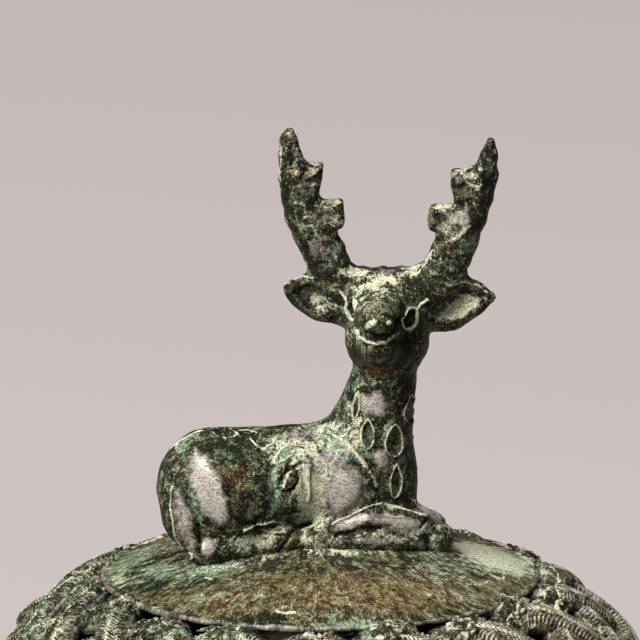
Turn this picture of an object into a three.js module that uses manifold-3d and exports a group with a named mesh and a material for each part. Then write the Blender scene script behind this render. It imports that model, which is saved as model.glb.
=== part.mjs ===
// A lidded bronze censer on three legs. A pierced lid of interlaced dragons sits on a round bowl and
// carries a lying deer, whose antlers are cast by themselves. Two loose rings hang from beast masks.
// Millimetres, +Z up, origin on the floor under the middle of the bowl. The deer lies towards +X and
// looks back towards -Y.
import * as THREE from "three";
import { mergeVertices } from "three/addons/utils/BufferGeometryUtils.js";
import Module from "manifold-3d";

const wasm = await Module();
wasm.setup();

// Fits and facets
const FIT_GAP = 0.3; // between a piece and what it is seated on
const RIVET_GAP = 0.3; // round a rivet's shank
const TURNED_SIDES = 32; // facets round a turned piece
const LIMB_SIDES = 8; // facets round a modelled limb
const RIVET_SIDES = 10;

// Bowl
const BOWL_LIFT = 36; // the floor to the bowl's underside
const BELLY_RADIUS = 86;
const BELLY_RISE = 42; // the bowl's underside to its widest level
const NECK_RADIUS = 76;
const SHOULDER_RISE = 32; // the widest level to the neck
const RIM_FLARE = 9; // how far the rim stands out past the neck
const RIM_RISE = 8; // the neck to the rim's underside
const RIM_THICKNESS = 6;
const BOWL_WALL = 4;

// Lid
const LID_INSET = 1; // the rim's edge to the lid's edge
const LID_CLEARANCE = 0.8; // the lid's flange to the bowl's neck
const LID_SKIRT = 6; // the straight band under the dome
const LID_WALL = 3.2;
const LEDGE_THICKNESS = 3; // of the collar inside the lid's foot
const FLANGE_DEPTH = 8; // how far the collar drops into the neck
const FLANGE_THICKNESS = 2.6;
const DOME_HEIGHT = 42.5;
const CROWN_RADIUS = 55; // the plain round field under the deer
const PIERCED_FOOT = 12; // height of the pierced band's lower edge over the dome's widest level

// Dragons of the pierced band, three bodies plaited round the lid
const DRAGON_BODIES = 3;
const DRAGON_TURNS = 6; // how often each body comes up to the crown, where its heads and coils lie
const DRAGON_START = 7; // degrees from the lid's right side round to the first body's upper turn
const DRAGON_BODY = 4.3; // half of a body's width, at its mean
const DRAGON_SWELL = 0.6; // how much wider it is at the crown, and slimmer at the lid's ring
const DRAGON_FLATNESS = 0.72; // a body's thickness to its width
const DRAGON_REACH = 2.6; // the band's edge to the middle of a body that turns there
const DRAGON_DEPTH = 2.6; // the dome's face to the middle of a body
const DRAGON_WEAVE = 1.2; // how far a body rises over the next one and dips under it

// Deer and what holds it on the lid
const DEER_HEIGHT = 104; // the crown to the antlers' tips
const DEER_RIVET_BITE = 11; // how far a rivet reaches up into the deer
const DEER_BASE = 2.5; // top of the filled base between the legs, over the crown
const BOSS_RADIUS = 6.5;
const BOSS_DEPTH = 1.4; // least height of a boss under the crown
const FINIAL_RIVET_RADIUS = 2.2;
const WASHER_RADIUS = 5.4;
const WASHER_THICKNESS = 1.2;
const TENON_RADIUS = 2.2;
const TENON_LENGTH = 5;

// Legs
const LEG_TOP_ANGLE = 70; // places on the bowl's underside, in degrees from its lowest point
const LEG_SHOULDER_ANGLE = 60;
const LEG_SEAT_ANGLE = 50;
const LEG_TOP = 5; // radii from the top down
const LEG_SHOULDER = 8.5;
const LEG_KNEE = 11;
const LEG_SHIN = 7.5;
const LEG_ANKLE = 6;
const LEG_FOOT = 8.5;
const KNEE_STANDOFF = 6.5; // the bowl's underside to the knee's middle
const LEG_RIVET_BITE = 9;
const LEG_RIVET_RADIUS = 2.2;

// Masks and their rings
const MASK_RISE = 10; // the bowl's widest level to the mask's middle
const MASK_HALF_WIDTH = 15;
const MASK_HALF_HEIGHT = 13;
const MASK_RELIEF = 6.5;
const HORN_RADIUS = 2.6;
const LUG_DROP = 4; // the mask's middle down to the lug's middle
const LUG_STANDOFF = 3.8; // the mask's face to the lug's middle
const LUG_WIRE = 2.2; // radius of the lug's own loop
const RING_RADIUS = 17; // the middle of the ring's wire
const RING_WIRE = 2.3;
const RING_PLAY = 0.5; // the wire to the lug's hole, all round
const MASK_RIVET_RADIUS = 1.8;
const MASK_RIVET_SPREAD = 9; // to each side of the mask's middle
const MASK_RIVET_BITE = 3.2;

// Ash liner
const LINER_BASE_RADIUS = 40;
const LINER_RIM_RADIUS = 60;
const LINER_HEIGHT = 52;
const LINER_WALL = 1.6;
const LINER_LIP = 3;

// Levels and radii that follow
const bellyLevel = BOWL_LIFT + BELLY_RISE;
const neckLevel = bellyLevel + SHOULDER_RISE;
const rimTop = neckLevel + RIM_RISE + RIM_THICKNESS;
const rimRadius = NECK_RADIUS + RIM_FLARE;
const neckBore = NECK_RADIUS - BOWL_WALL;
const lidBase = rimTop + FIT_GAP;
const lidRadius = rimRadius - LID_INSET;
const domeLevel = lidBase + LID_SKIRT;
const crownTop = domeLevel + DOME_HEIGHT;
const crownEdge = Math.asin(CROWN_RADIUS / lidRadius);
const piercedEdge = Math.acos(PIERCED_FOOT / DOME_HEIGHT);

const radians = THREE.MathUtils.degToRad;
const at = (x, y, z) => new THREE.Vector3(x, y, z);

// Solids

// The closed solid of a geometry, with shared corners joined and empty triangles left out.
function solid(geometry) {
  const bare = geometry.index ? geometry.toNonIndexed() : geometry.clone();
  bare.deleteAttribute("normal");
  bare.deleteAttribute("uv");
  const merged = mergeVertices(bare, 1e-4);
  const corners = [];
  for (let i = 0; i < merged.index.count; i += 3) {
    const [a, b, c] = [0, 1, 2].map((k) => merged.index.getX(i + k));
    if (a !== b && b !== c && c !== a) corners.push(a, b, c);
  }
  return new wasm.Manifold(
    new wasm.Mesh({
      numProp: 3,
      vertProperties: merged.attributes.position.array,
      triVerts: new Uint32Array(corners),
    }),
  );
}

const join = (pieces) => pieces.reduce((whole, piece) => whole.add(piece));
const cut = (whole, tools) => tools.reduce((rest, tool) => rest.subtract(tool), whole);

// A geometry of a solid.
function geometryOf(made) {
  const mesh = made.getMesh();
  const places = new Float32Array(mesh.numVert * 3);
  for (let i = 0; i < mesh.numVert; i++) {
    places.set(mesh.vertProperties.subarray(i * mesh.numProp, i * mesh.numProp + 3), i * 3);
  }
  const geometry = new THREE.BufferGeometry();
  geometry.setAttribute("position", new THREE.BufferAttribute(places, 3));
  geometry.setIndex(new THREE.BufferAttribute(new Uint32Array(mesh.triVerts), 1));
  geometry.computeVertexNormals();
  return geometry;
}

// A turned solid about +Z, from its section as [radius, height] points, anticlockwise in that plane.
function turned(section, sides = TURNED_SIDES) {
  const points = section.map(([r, z]) => new THREE.Vector2(r, z));
  const [first, last] = [points[0], points[points.length - 1]];
  if (first.x > 0 || last.x > 0) points.push(first.clone());
  return solid(new THREE.LatheGeometry(points, sides).rotateX(Math.PI / 2));
}

// A round bar from one point to another.
function bar(from, to, radius, sides = RIVET_SIDES) {
  const along = to.clone().sub(from);
  const turn = new THREE.Quaternion().setFromUnitVectors(at(0, 1, 0), along.clone().normalize());
  const made = new THREE.CylinderGeometry(radius, radius, along.length(), sides).applyQuaternion(turn);
  const middle = from.clone().add(to).multiplyScalar(0.5);
  return solid(made.translate(middle.x, middle.y, middle.z));
}

// A ball stretched to three radii.
function ball(centre, radii, sides = 10, rings = 7) {
  const made = new THREE.SphereGeometry(1, sides, rings).rotateX(Math.PI / 2);
  return solid(made.scale(...radii).translate(...centre));
}

// The surface of a limb of round section through stations of [point, radius]. Its ends are rounded, or
// flat where asked.
function limbSurface(stations, { flatStart = false, sides = LIMB_SIDES } = {}) {
  const rings = stations.map(([point, radius]) => ({ point: point.clone(), radius }));
  const cap = (end, next) => {
    const out = end.point.clone().sub(next.point).normalize();
    return [30, 60].map((angle) => ({
      point: end.point.clone().addScaledVector(out, end.radius * Math.sin(radians(angle))),
      radius: end.radius * Math.cos(radians(angle)),
    }));
  };
  const tip = (end, next, reach) => {
    const out = end.point.clone().sub(next.point).normalize();
    return end.point.clone().addScaledVector(out, reach);
  };
  const [a, b] = rings;
  const [y, z] = rings.slice(-2);
  const startTip = flatStart ? a.point.clone() : tip(a, b, a.radius);
  const endTip = tip(z, y, z.radius);
  const all = [...(flatStart ? [] : cap(a, b).reverse()), ...rings, ...cap(z, y)];

  const places = [];
  let side = null;
  all.forEach(({ point, radius }, i) => {
    const before = all[Math.max(i - 1, 0)].point;
    const after = all[Math.min(i + 1, all.length - 1)].point;
    const along = after.clone().sub(before).normalize();
    side ??= Math.abs(along.z) < 0.9 ? at(0, 0, 1) : at(0, 1, 0);
    side = side.clone().addScaledVector(along, -side.dot(along)).normalize();
    const across = along.clone().cross(side);
    for (let k = 0; k < sides; k++) {
      const angle = (2 * Math.PI * k) / sides;
      const spot = point.clone().addScaledVector(side, radius * Math.cos(angle));
      places.push(spot.addScaledVector(across, radius * Math.sin(angle)));
    }
  });
  const [start, end] = [places.length, places.length + 1];
  places.push(startTip, endTip);

  const corners = [];
  const last = (all.length - 1) * sides;
  for (let k = 0; k < sides; k++) {
    const next = (k + 1) % sides;
    corners.push(start, next, k, end, last + k, last + next);
    for (let ring = 0; ring < last; ring += sides) {
      corners.push(ring + k, ring + next, ring + sides + k);
      corners.push(ring + next, ring + sides + next, ring + sides + k);
    }
  }
  return new THREE.BufferGeometry().setFromPoints(places).setIndex(corners);
}

const limb = (stations, options) => solid(limbSurface(stations, options));

// Bowl

// The height over the floor of a shell's rounded underside, at a radius.
function undersideHeight(radius, inset) {
  const share = radius / (BELLY_RADIUS - inset);
  return BOWL_LIFT + inset + (BELLY_RISE - inset) * (1 - Math.sqrt(1 - share * share));
}

// The bowl's side from its lowest point up to the neck, moved in by an inset.
function bowlSide(inset) {
  const points = [];
  for (let angle = 0; angle <= 90; angle += 10) {
    const radius = (BELLY_RADIUS - inset) * Math.sin(radians(angle));
    const rise = (BELLY_RISE - inset) * (1 - Math.cos(radians(angle)));
    points.push([radius, BOWL_LIFT + inset + rise]);
  }
  for (let share = 0.25; share <= 1; share += 0.25) {
    const level = bellyLevel + share * SHOULDER_RISE;
    points.push([shoulderRadius(level) - inset, level]);
  }
  return points;
}

// The radius of the bowl's shoulder at a height, on a smooth S from the belly to the neck.
function shoulderRadius(height) {
  const share = (height - bellyLevel) / SHOULDER_RISE;
  return NECK_RADIUS + ((BELLY_RADIUS - NECK_RADIUS) * (1 + Math.cos(Math.PI * share))) / 2;
}

// A place on the bowl's underside and the way out from it, in the plane of radius and height.
function underside(angle, standoff = 0) {
  const place = radians(angle);
  const out = new THREE.Vector2(BELLY_RISE * Math.sin(place), -BELLY_RADIUS * Math.cos(place)).normalize();
  const spot = new THREE.Vector2(
    BELLY_RADIUS * Math.sin(place),
    BOWL_LIFT + BELLY_RISE * (1 - Math.cos(place)),
  );
  return { spot: spot.addScaledVector(out, standoff), out };
}

// What the bowl fills to its outer face, grown by the gap that its neighbours keep.
const bowlBlock = turned([...bowlSide(-FIT_GAP), [0, neckLevel]]);

function bowlShell() {
  const rim = [
    [rimRadius, rimTop - RIM_THICKNESS],
    [rimRadius, rimTop],
    [neckBore, rimTop],
  ];
  return turned([...bowlSide(0), ...rim, ...bowlSide(BOWL_WALL).reverse()]);
}

// Rivets

// A rivet with a domed head, from under its head to its end.
function rivet(seat, end, radius) {
  const headRadius = radius * 1.9;
  const headHeight = radius * 1.1;
  const length = end.clone().sub(seat).length();
  const section = [];
  for (let angle = -90; angle <= 0; angle += 30) {
    const place = radians(angle);
    section.push([headRadius * Math.cos(place), headHeight * Math.sin(place)]);
  }
  section[0][0] = 0;
  section.push([radius, 0], [radius, length], [0, length]);
  const points = section.map(([r, z]) => new THREE.Vector2(r, z));
  const way = end.clone().sub(seat).normalize();
  const turn = new THREE.Quaternion().setFromUnitVectors(at(0, 1, 0), way);
  const made = new THREE.LatheGeometry(points, RIVET_SIDES).applyQuaternion(turn);
  return solid(made.translate(seat.x, seat.y, seat.z));
}

// Legs

const legNames = ["front", "back_right", "back_left"];
const legAngles = [-90, 30, 150];

// Turns a place in the plane of radius and height to the bowl's side at an angle.
function round(spot, angle) {
  const turn = radians(angle);
  return at(spot.x * Math.cos(turn), spot.x * Math.sin(turn), spot.y);
}

function leg(angle) {
  const seat = underside(LEG_SEAT_ANGLE).spot;
  const knee = underside(LEG_SEAT_ANGLE, KNEE_STANDOFF).spot;
  const stations = [
    [underside(LEG_TOP_ANGLE).spot, LEG_TOP],
    [underside(LEG_SHOULDER_ANGLE, KNEE_STANDOFF / 3).spot, LEG_SHOULDER],
    [knee, LEG_KNEE],
    [new THREE.Vector2(seat.x + 2, knee.y * 0.62), LEG_SHIN],
    [new THREE.Vector2(seat.x - 2, knee.y * 0.3), LEG_ANKLE],
    [new THREE.Vector2(seat.x + 2.5, LEG_FOOT * 0.5), LEG_FOOT],
  ].map(([spot, radius]) => [round(spot, angle), radius]);
  const floor = new THREE.BoxGeometry(4 * BELLY_RADIUS, 4 * BELLY_RADIUS, BELLY_RADIUS);
  return limb(stations, { sides: 10 })
    .subtract(bowlBlock)
    .subtract(solid(floor.translate(0, 0, -BELLY_RADIUS / 2)));
}

// The two ends of a leg's rivet: under its head inside the bowl, and inside the leg.
function legRivetEnds(angle) {
  const { spot, out } = underside(LEG_SEAT_ANGLE);
  const seat = spot.clone().addScaledVector(out, -BOWL_WALL - 2 * FIT_GAP);
  const end = spot.clone().addScaledVector(out, LEG_RIVET_BITE);
  return [round(seat, angle), round(end, angle)];
}

// A rivet's hole, a little deeper and wider than its shank.
function rivetHole([seat, end], radius) {
  const way = end.clone().sub(seat).normalize();
  const from = seat.clone().addScaledVector(way, -BOWL_WALL);
  return bar(from, end.clone().addScaledVector(way, RIVET_GAP), radius + RIVET_GAP);
}

// Masks and rings, made on the +X side and turned to each side

const maskLevel = bellyLevel + MASK_RISE;
const maskFace = shoulderRadius(maskLevel);
const lugMiddle = at(maskFace + MASK_RELIEF + LUG_STANDOFF, 0, maskLevel - LUG_DROP);
const lugHole = RING_WIRE + RING_PLAY;
const sideTurn = { right: 0, left: 180 };

// A loop of round wire in the plane across an axis.
function loop(radius, wire, axis, steps, sides) {
  const made = new THREE.TorusGeometry(radius, wire, sides, steps);
  return axis === "x" ? made.rotateY(Math.PI / 2) : made.rotateX(Math.PI / 2);
}

function mask() {
  const face = ball([maskFace, 0, maskLevel], [MASK_RELIEF, MASK_HALF_WIDTH, MASK_HALF_HEIGHT], 10, 6);
  const horns = [-1, 1].map((side) => {
    const onFace = (depth, width, height) => {
      const out = maskFace + MASK_RELIEF * depth;
      return at(out, side * MASK_HALF_WIDTH * width, maskLevel + MASK_HALF_HEIGHT * height);
    };
    const [root, bend, tip] = [onFace(0.4, 0.35, 0.6), onFace(0.2, 0.95, 0.9), onFace(0.1, 1.05, 0.35)];
    return limb([[root, HORN_RADIUS], [bend, HORN_RADIUS], [tip, HORN_RADIUS * 0.7]], { sides: 6 });
  });
  const lug = solid(loop(lugHole + LUG_WIRE, LUG_WIRE, "y", 14, 6).translate(...lugMiddle));
  const bore = bar(
    lugMiddle.clone().setY(-MASK_HALF_WIDTH),
    lugMiddle.clone().setY(MASK_HALF_WIDTH),
    lugHole,
    14,
  );
  return cut(join([face, ...horns]), [bore]).add(lug).subtract(bowlBlock);
}

// The ring hangs on the bottom of the lug's hole, with the seat's gap under it.
const ringTop = lugMiddle.clone().setZ(lugMiddle.z - RING_PLAY + FIT_GAP);

function ring() {
  const middle = ringTop.clone().setZ(ringTop.z - RING_RADIUS);
  return solid(loop(RING_RADIUS, RING_WIRE, "x", 24, 6).translate(...middle));
}

// The two ends of a mask's rivet, square to the bowl's wall.
function maskRivetEnds(side) {
  const height = maskLevel + LUG_DROP;
  const slope = shoulderRadius(height + 0.5) - shoulderRadius(height - 0.5);
  const out = new THREE.Vector2(1, -slope).normalize();
  const spot = new THREE.Vector2(shoulderRadius(height), height);
  const angle = side * THREE.MathUtils.radToDeg(Math.asin(MASK_RIVET_SPREAD / spot.x));
  const seat = spot.clone().addScaledVector(out, -BOWL_WALL * out.x - 2 * FIT_GAP);
  const end = spot.clone().addScaledVector(out, MASK_RIVET_BITE);
  return [round(seat, angle), round(end, angle)];
}

// Ash liner

function liner() {
  const base = undersideHeight(LINER_BASE_RADIUS, BOWL_WALL) + FIT_GAP;
  const top = base + LINER_HEIGHT;
  const wallAt = (share) => LINER_BASE_RADIUS + (LINER_RIM_RADIUS - LINER_BASE_RADIUS) * Math.sqrt(share);
  const outer = [0, 0.15, 0.4, 0.7, 1].map((share) => [wallAt(share), base + share * LINER_HEIGHT]);
  const inner = outer.slice(1).map(([r, z]) => [r - LINER_WALL, z]);
  return turned([
    [0, base],
    ...outer.slice(0, -1),
    [LINER_RIM_RADIUS, top - LINER_WALL],
    [LINER_RIM_RADIUS + LINER_LIP, top - LINER_WALL],
    [LINER_RIM_RADIUS + LINER_LIP, top],
    ...inner.reverse(),
    [LINER_BASE_RADIUS - LINER_WALL, base + LINER_WALL],
    [0, base + LINER_WALL],
  ]);
}

// Lid

// Points on the dome, from one angle off its top to another, moved in by an inset.
function domeArc(from, to, inset, steps) {
  const points = [];
  for (let i = 0; i <= steps; i++) {
    const angle = from + ((to - from) * i) / steps;
    const radius = (lidRadius - inset) * Math.sin(angle);
    points.push([radius, domeLevel + (DOME_HEIGHT - inset) * Math.cos(angle)]);
  }
  return points;
}

// A place on the dome's face, at an angle off its top and an angle round it.
function onDome(angle, turn) {
  const radius = lidRadius * Math.sin(angle);
  return at(radius * Math.cos(turn), radius * Math.sin(turn), domeLevel + DOME_HEIGHT * Math.cos(angle));
}

const crown = () => turned([...domeArc(0, crownEdge, LID_WALL, 4), ...domeArc(crownEdge, 0, 0, 4)]);

// The dome's lower ring, whose foot stands on the bowl's rim.
function lidRing() {
  return turned([
    [lidRadius - LID_WALL, lidBase],
    [lidRadius, lidBase],
    ...domeArc(Math.PI / 2, piercedEdge, 0, 2),
    ...domeArc(piercedEdge, Math.PI / 2, LID_WALL, 2),
  ]);
}

// The collar inside the lid's foot: a ledge over the rim, and a flange that drops into the neck.
function lidCollar() {
  const flangeRadius = neckBore - LID_CLEARANCE;
  const bore = flangeRadius - FLANGE_THICKNESS;
  const ledgeRadius = lidRadius - LID_WALL - FIT_GAP;
  return turned([
    [bore, lidBase - FLANGE_DEPTH],
    [flangeRadius, lidBase - FLANGE_DEPTH],
    [flangeRadius, lidBase],
    [ledgeRadius, lidBase],
    [ledgeRadius, lidBase + LEDGE_THICKNESS],
    [bore, lidBase + LEDGE_THICKNESS],
  ]);
}

// A dragon's body, one closed strand of the plait. It runs along the crown's edge at each upper turn.
function dragon(number) {
  const turns = Math.round(DRAGON_TURNS);
  const steps = turns * 7;
  const sides = 6;
  const [crownRadius, ringRadius] = [crownEdge, piercedEdge].map((angle) => lidRadius * Math.sin(angle));
  const bandWidth = Math.hypot(ringRadius - crownRadius, DOME_HEIGHT * Math.cos(crownEdge) - PIERCED_FOOT);
  const swing = ((piercedEdge - crownEdge) / 2) * (1 - (2 * DRAGON_REACH) / bandWidth);
  const stations = [];
  for (let i = 0; i < steps; i++) {
    const phase = 2 * Math.PI * ((turns * i) / steps + number / DRAGON_BODIES);
    const angle = (crownEdge + piercedEdge) / 2 - swing * Math.cos(phase);
    const turn = radians(DRAGON_START) + (2 * Math.PI * i) / steps;
    const inset = DRAGON_DEPTH - DRAGON_WEAVE * Math.sin(2 * phase);
    const fall = Math.sin(angle) / lidRadius;
    const out = at(fall * Math.cos(turn), fall * Math.sin(turn), Math.cos(angle) / DOME_HEIGHT).normalize();
    const width = DRAGON_BODY + DRAGON_SWELL * Math.cos(phase);
    stations.push({ spot: onDome(angle, turn).addScaledVector(out, -inset), out, width });
  }
  const places = stations.flatMap(({ spot, out, width }, i) => {
    const before = stations[(i + steps - 1) % steps].spot;
    const along = stations[(i + 1) % steps].spot.clone().sub(before).normalize();
    const up = out.clone().addScaledVector(along, -out.dot(along)).normalize();
    const across = along.clone().cross(up);
    return Array.from({ length: sides }, (_, k) => {
      const angle = (2 * Math.PI * k) / sides;
      const side = spot.clone().addScaledVector(up, width * DRAGON_FLATNESS * Math.cos(angle));
      return side.addScaledVector(across, width * Math.sin(angle));
    });
  });
  const corners = [];
  for (let i = 0; i < steps; i++) {
    for (let k = 0; k < sides; k++) {
      const [here, next] = [i * sides, ((i + 1) % steps) * sides];
      const [a, b] = [k, (k + 1) % sides];
      corners.push(here + a, here + b, next + a, here + b, next + b, next + a);
    }
  }
  return solid(new THREE.BufferGeometry().setFromPoints(places).setIndex(corners));
}

function dragons() {
  const bodies = Math.round(DRAGON_BODIES);
  return Array.from({ length: bodies }, (_, number) => dragon(number));
}

// Deer: limbs through stations [x, y, z, radius] from the crown's top, in a figure of its own height

const figure = DEER_HEIGHT / 104;
const onDeer = (x, y, z) => at(x * figure, y * figure, crownTop + z * figure);
const deerStations = (stations) => stations.map(([x, y, z, r]) => [onDeer(x, y, z), r * figure]);
const deerLimb = (stations, options) => limb(deerStations(stations), options);
const deerBall = ([x, y, z], radii) =>
  ball(onDeer(x, y, z).toArray(), radii.map((r) => r * figure));

// An ear is a limb pressed flat, front to back.
function ear(stations) {
  const flat = 0.45;
  const middle = stations[1][1] * figure;
  const surface = limbSurface(deerStations(stations)).translate(0, -middle, 0);
  return solid(surface.scale(1, flat, 1).translate(0, middle, 0));
}

const pedicles = {
  left: { seat: onDeer(2.6, -1, 68.5), way: at(-0.44, 0, 0.9).normalize(), radius: 5.0 * figure },
  right: { seat: onDeer(31.0, -1, 68.5), way: at(0.48, 0, 0.88).normalize(), radius: 5.0 * figure },
};

const finialSpots = { rear: onDeer(-20, -5, 0), front: onDeer(8, 2, 0) };
const bossLevel = crownTop - BOSS_DEPTH - LID_WALL - crownDrop(finialSpots.rear);

// How far the dome falls below its top at a place.
function crownDrop(spot) {
  const share = Math.hypot(spot.x, spot.y) / lidRadius;
  return DOME_HEIGHT * (1 - Math.sqrt(1 - share * share));
}

function finialRivetEnds(spot) {
  const seat = spot.clone().setZ(bossLevel - WASHER_THICKNESS - 2 * FIT_GAP);
  return [seat, spot.clone().setZ(crownTop + DEER_RIVET_BITE)];
}

function deer() {
  const torso = deerLimb([[-26, -6.5, 14, 14.2], [-8, -1.5, 15.4, 12], [9, 3, 15.5, 13]], { sides: 10 });
  const neck = deerLimb(
    [[10.5, 2.5, 21, 12.5], [13.2, 1, 31, 10.4], [15, -0.5, 38, 9.2], [16, -1, 46, 9.2]],
    { sides: 10 },
  );
  const skull = deerBall([16.8, -1.5, 58.5], [12.2, 10.5, 8.8]);
  const cheeks = deerBall([16.7, -3, 50.5], [10.6, 9.5, 9]);
  const muzzle = deerLimb([[16.2, -6, 57, 8.8], [14.8, -16.5, 57.2, 5.3]]);
  const chin = deerLimb([[16, -5, 49, 8], [14.8, -12.5, 50.1, 4.8]]);
  const poll = deerLimb([[8.5, -1, 63.5, 4.6], [25.5, -1, 63.8, 4.6]]);
  const ears = [
    ear([[6, 0, 58.5, 5], [0, -1, 60, 5.8], [-7.6, -2, 62.4, 1.6]]),
    ear([[27, 0, 58.5, 5], [33, -1, 59.5, 5.6], [41.6, -2, 61.4, 1.6]]),
  ];
  const thighs = [deerBall([-25, -12, 11], [14.6, 9.2, 14.6]), deerBall([-22, 3, 10.5], [14, 9.5, 14])];
  const shoulder = deerBall([6, -6, 14], [9, 6, 11]);
  const feet = [
    deerLimb([[-28.5, -17.5, 0.2, 4], [-20, -15.5, 1.2, 3.4], [-9, -12.5, 2.4, 3.3]]),
    deerLimb([[-30, 6, 0.5, 4.2], [-12, 9, 1.5, 3.2]]),
    deerLimb([[3, -9, 4, 4.6], [13, -8, 5.5, 5], [26, -4.5, 2.8, 4.8]]),
    deerLimb([[22, -9, 0.8, 3], [-2, -11, 1, 2.6]]),
    deerLimb([[14, 8, 4, 5], [27, 2, 1, 4.6]]),
  ];
  const stumps = Object.values(pedicles).map(({ seat, way, radius }) =>
    bar(seat.clone().addScaledVector(way, -9 * figure), seat, radius, LIMB_SIDES),
  );
  const base = new THREE.Shape().absellipse(-1.5, -3, 30, 10.5, 0, 2 * Math.PI, false, radians(13));
  const fill = new THREE.ExtrudeGeometry(base, { depth: 1, bevelEnabled: false, curveSegments: 12 });
  fill.scale(figure, figure, DEER_BASE + DOME_HEIGHT / 2).translate(0, 0, crownTop - DOME_HEIGHT / 2);

  const body = join([
    torso, neck, skull, poll, cheeks, muzzle, chin, ...ears, ...thighs, shoulder, ...feet, ...stumps,
    solid(fill),
  ]);
  const crownFace = domeArc(crownEdge, 0, -FIT_GAP, 4);
  const crownBlock = turned([[0, domeLevel], [crownFace[0][0], domeLevel], ...crownFace]);
  const sockets = Object.values(pedicles).map(({ seat, way }) =>
    bar(
      seat.clone().addScaledVector(way, -TENON_LENGTH - FIT_GAP),
      seat.clone().addScaledVector(way, 1),
      TENON_RADIUS + FIT_GAP,
    ),
  );
  const holes = Object.values(finialSpots).map((spot) =>
    rivetHole(finialRivetEnds(spot), FINIAL_RIVET_RADIUS),
  );
  return cut(body, [crownBlock, ...sockets, ...holes]);
}

// A tine broken off short: a block with its middle at [x, y, z], its half sizes and a lean in degrees.
function stub([x, y, z], halfSizes, lean) {
  const made = new THREE.BoxGeometry(...halfSizes.map((half) => 2 * half * figure));
  return solid(made.rotateY(radians(lean)).translate(...onDeer(x, y, z)));
}

// An antler stands on its stump, with a tenon in the socket and two stubs on its inner side.
function antler(side) {
  const { seat, way, radius } = pedicles[side];
  const root = seat.clone().addScaledVector(way, FIT_GAP);
  const shapes = {
    left: {
      beam: [
        [0.5, -1, 72.8, 5.2], [-1.8, -1.3, 77.3, 5], [-4, -1.7, 82.6, 4.8], [-5.2, -2.2, 87.5, 4.1],
        [-6.6, -2.7, 93, 3.3], [-7.6, -3.3, 99.5, 2.4], [-7.7, -3.5, 102.5, 1.5],
      ],
      stubs: [[[1.8, -2, 81.6], [4.2, 2.8, 2.9], -12], [[-2.8, -2.6, 91.4], [3.5, 2.4, 3.3], 4]],
    },
    right: {
      beam: [
        [33.3, -1, 72.8, 5.2], [34.7, -1.2, 76.6, 4.9], [36.6, -1.6, 82, 4.3], [39.1, -2.2, 88, 3.6],
        [41, -2.8, 93, 3], [42, -3.3, 98.6, 2], [42.3, -3.5, 101, 1.3],
      ],
      stubs: [[[31.2, -2, 80.2], [4.3, 2.8, 3], 10], [[36.6, -2.6, 91], [3.9, 2.4, 2.6], 4]],
    },
  };
  const { beam, stubs } = shapes[side];
  const stem = limb([[root, radius], ...deerStations(beam)], { flatStart: true });
  const along = (distance) => seat.clone().addScaledVector(way, distance);
  const tenon = bar(along(-TENON_LENGTH), along(2), TENON_RADIUS);
  return join([stem, tenon, ...stubs.map((shape) => stub(...shape))]);
}

function lid() {
  const bosses = Object.values(finialSpots).map((spot) =>
    bar(
      spot.clone().setZ(bossLevel),
      spot.clone().setZ(crownTop - LID_WALL / 2 - crownDrop(spot)),
      BOSS_RADIUS,
    ),
  );
  const holes = Object.values(finialSpots).map((spot) =>
    rivetHole(finialRivetEnds(spot), FINIAL_RIVET_RADIUS),
  );
  return cut(join([lidRing(), crown(), ...dragons(), ...bosses]), holes);
}

function washer() {
  const inner = FINIAL_RIVET_RADIUS + RIVET_GAP;
  const [outer, top] = [WASHER_RADIUS, WASHER_THICKNESS];
  return turned([[inner, 0], [outer, 0], [outer, top], [inner, top]], 14);
}

// Assembly

const bronze = new THREE.MeshStandardMaterial({ color: 0x47483a, roughness: 0.45, metalness: 0.75 });
const darkBronze = new THREE.MeshStandardMaterial({ color: 0x3a352b, roughness: 0.5, metalness: 0.8 });
const copper = new THREE.MeshStandardMaterial({ color: 0x6e4630, roughness: 0.55, metalness: 0.85 });

const censer = new THREE.Group();

function place(name, made, material = bronze, turn = 0) {
  const mesh = new THREE.Mesh(geometryOf(made), material);
  mesh.name = name;
  mesh.rotation.z = radians(turn);
  censer.add(mesh);
  return mesh;
}

// A side's rivet ends, turned from the +X side to that side.
const upwards = at(0, 0, 1);
const turnedEnds = (ends, turn) => ends.map((end) => end.clone().applyAxisAngle(upwards, radians(turn)));
const maskRivets = Object.entries(sideTurn).flatMap(([side, turn]) =>
  [-1, 1].map((hand) => ({
    name: `mask_rivet_${side}_${hand < 0 ? "a" : "b"}`,
    ends: turnedEnds(maskRivetEnds(hand), turn),
  })),
);

const legHoles = legAngles.map((angle) => rivetHole(legRivetEnds(angle), LEG_RIVET_RADIUS));
const maskHoles = maskRivets.map(({ ends }) => rivetHole(ends, MASK_RIVET_RADIUS));
place("bowl", cut(bowlShell(), [...legHoles, ...maskHoles]));
legNames.forEach((name, i) => {
  place(`leg_${name}`, leg(legAngles[i]).subtract(legHoles[i]));
  place(`leg_rivet_${name}`, rivet(...legRivetEnds(legAngles[i]), LEG_RIVET_RADIUS), darkBronze);
});
for (const [side, turn] of Object.entries(sideTurn)) {
  const holes = [-1, 1].map((hand) => rivetHole(maskRivetEnds(hand), MASK_RIVET_RADIUS));
  place(`mask_${side}`, cut(mask(), holes), bronze, turn);
  place(`ring_${side}`, ring(), bronze, turn);
}
for (const { name, ends } of maskRivets) place(name, rivet(...ends, MASK_RIVET_RADIUS), darkBronze);
place("ash_liner", liner(), copper);
place("lid", lid());
place("lid_collar", lidCollar());
place("deer", deer());
for (const side of ["left", "right"]) place(`antler_${side}`, antler(side));
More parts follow.
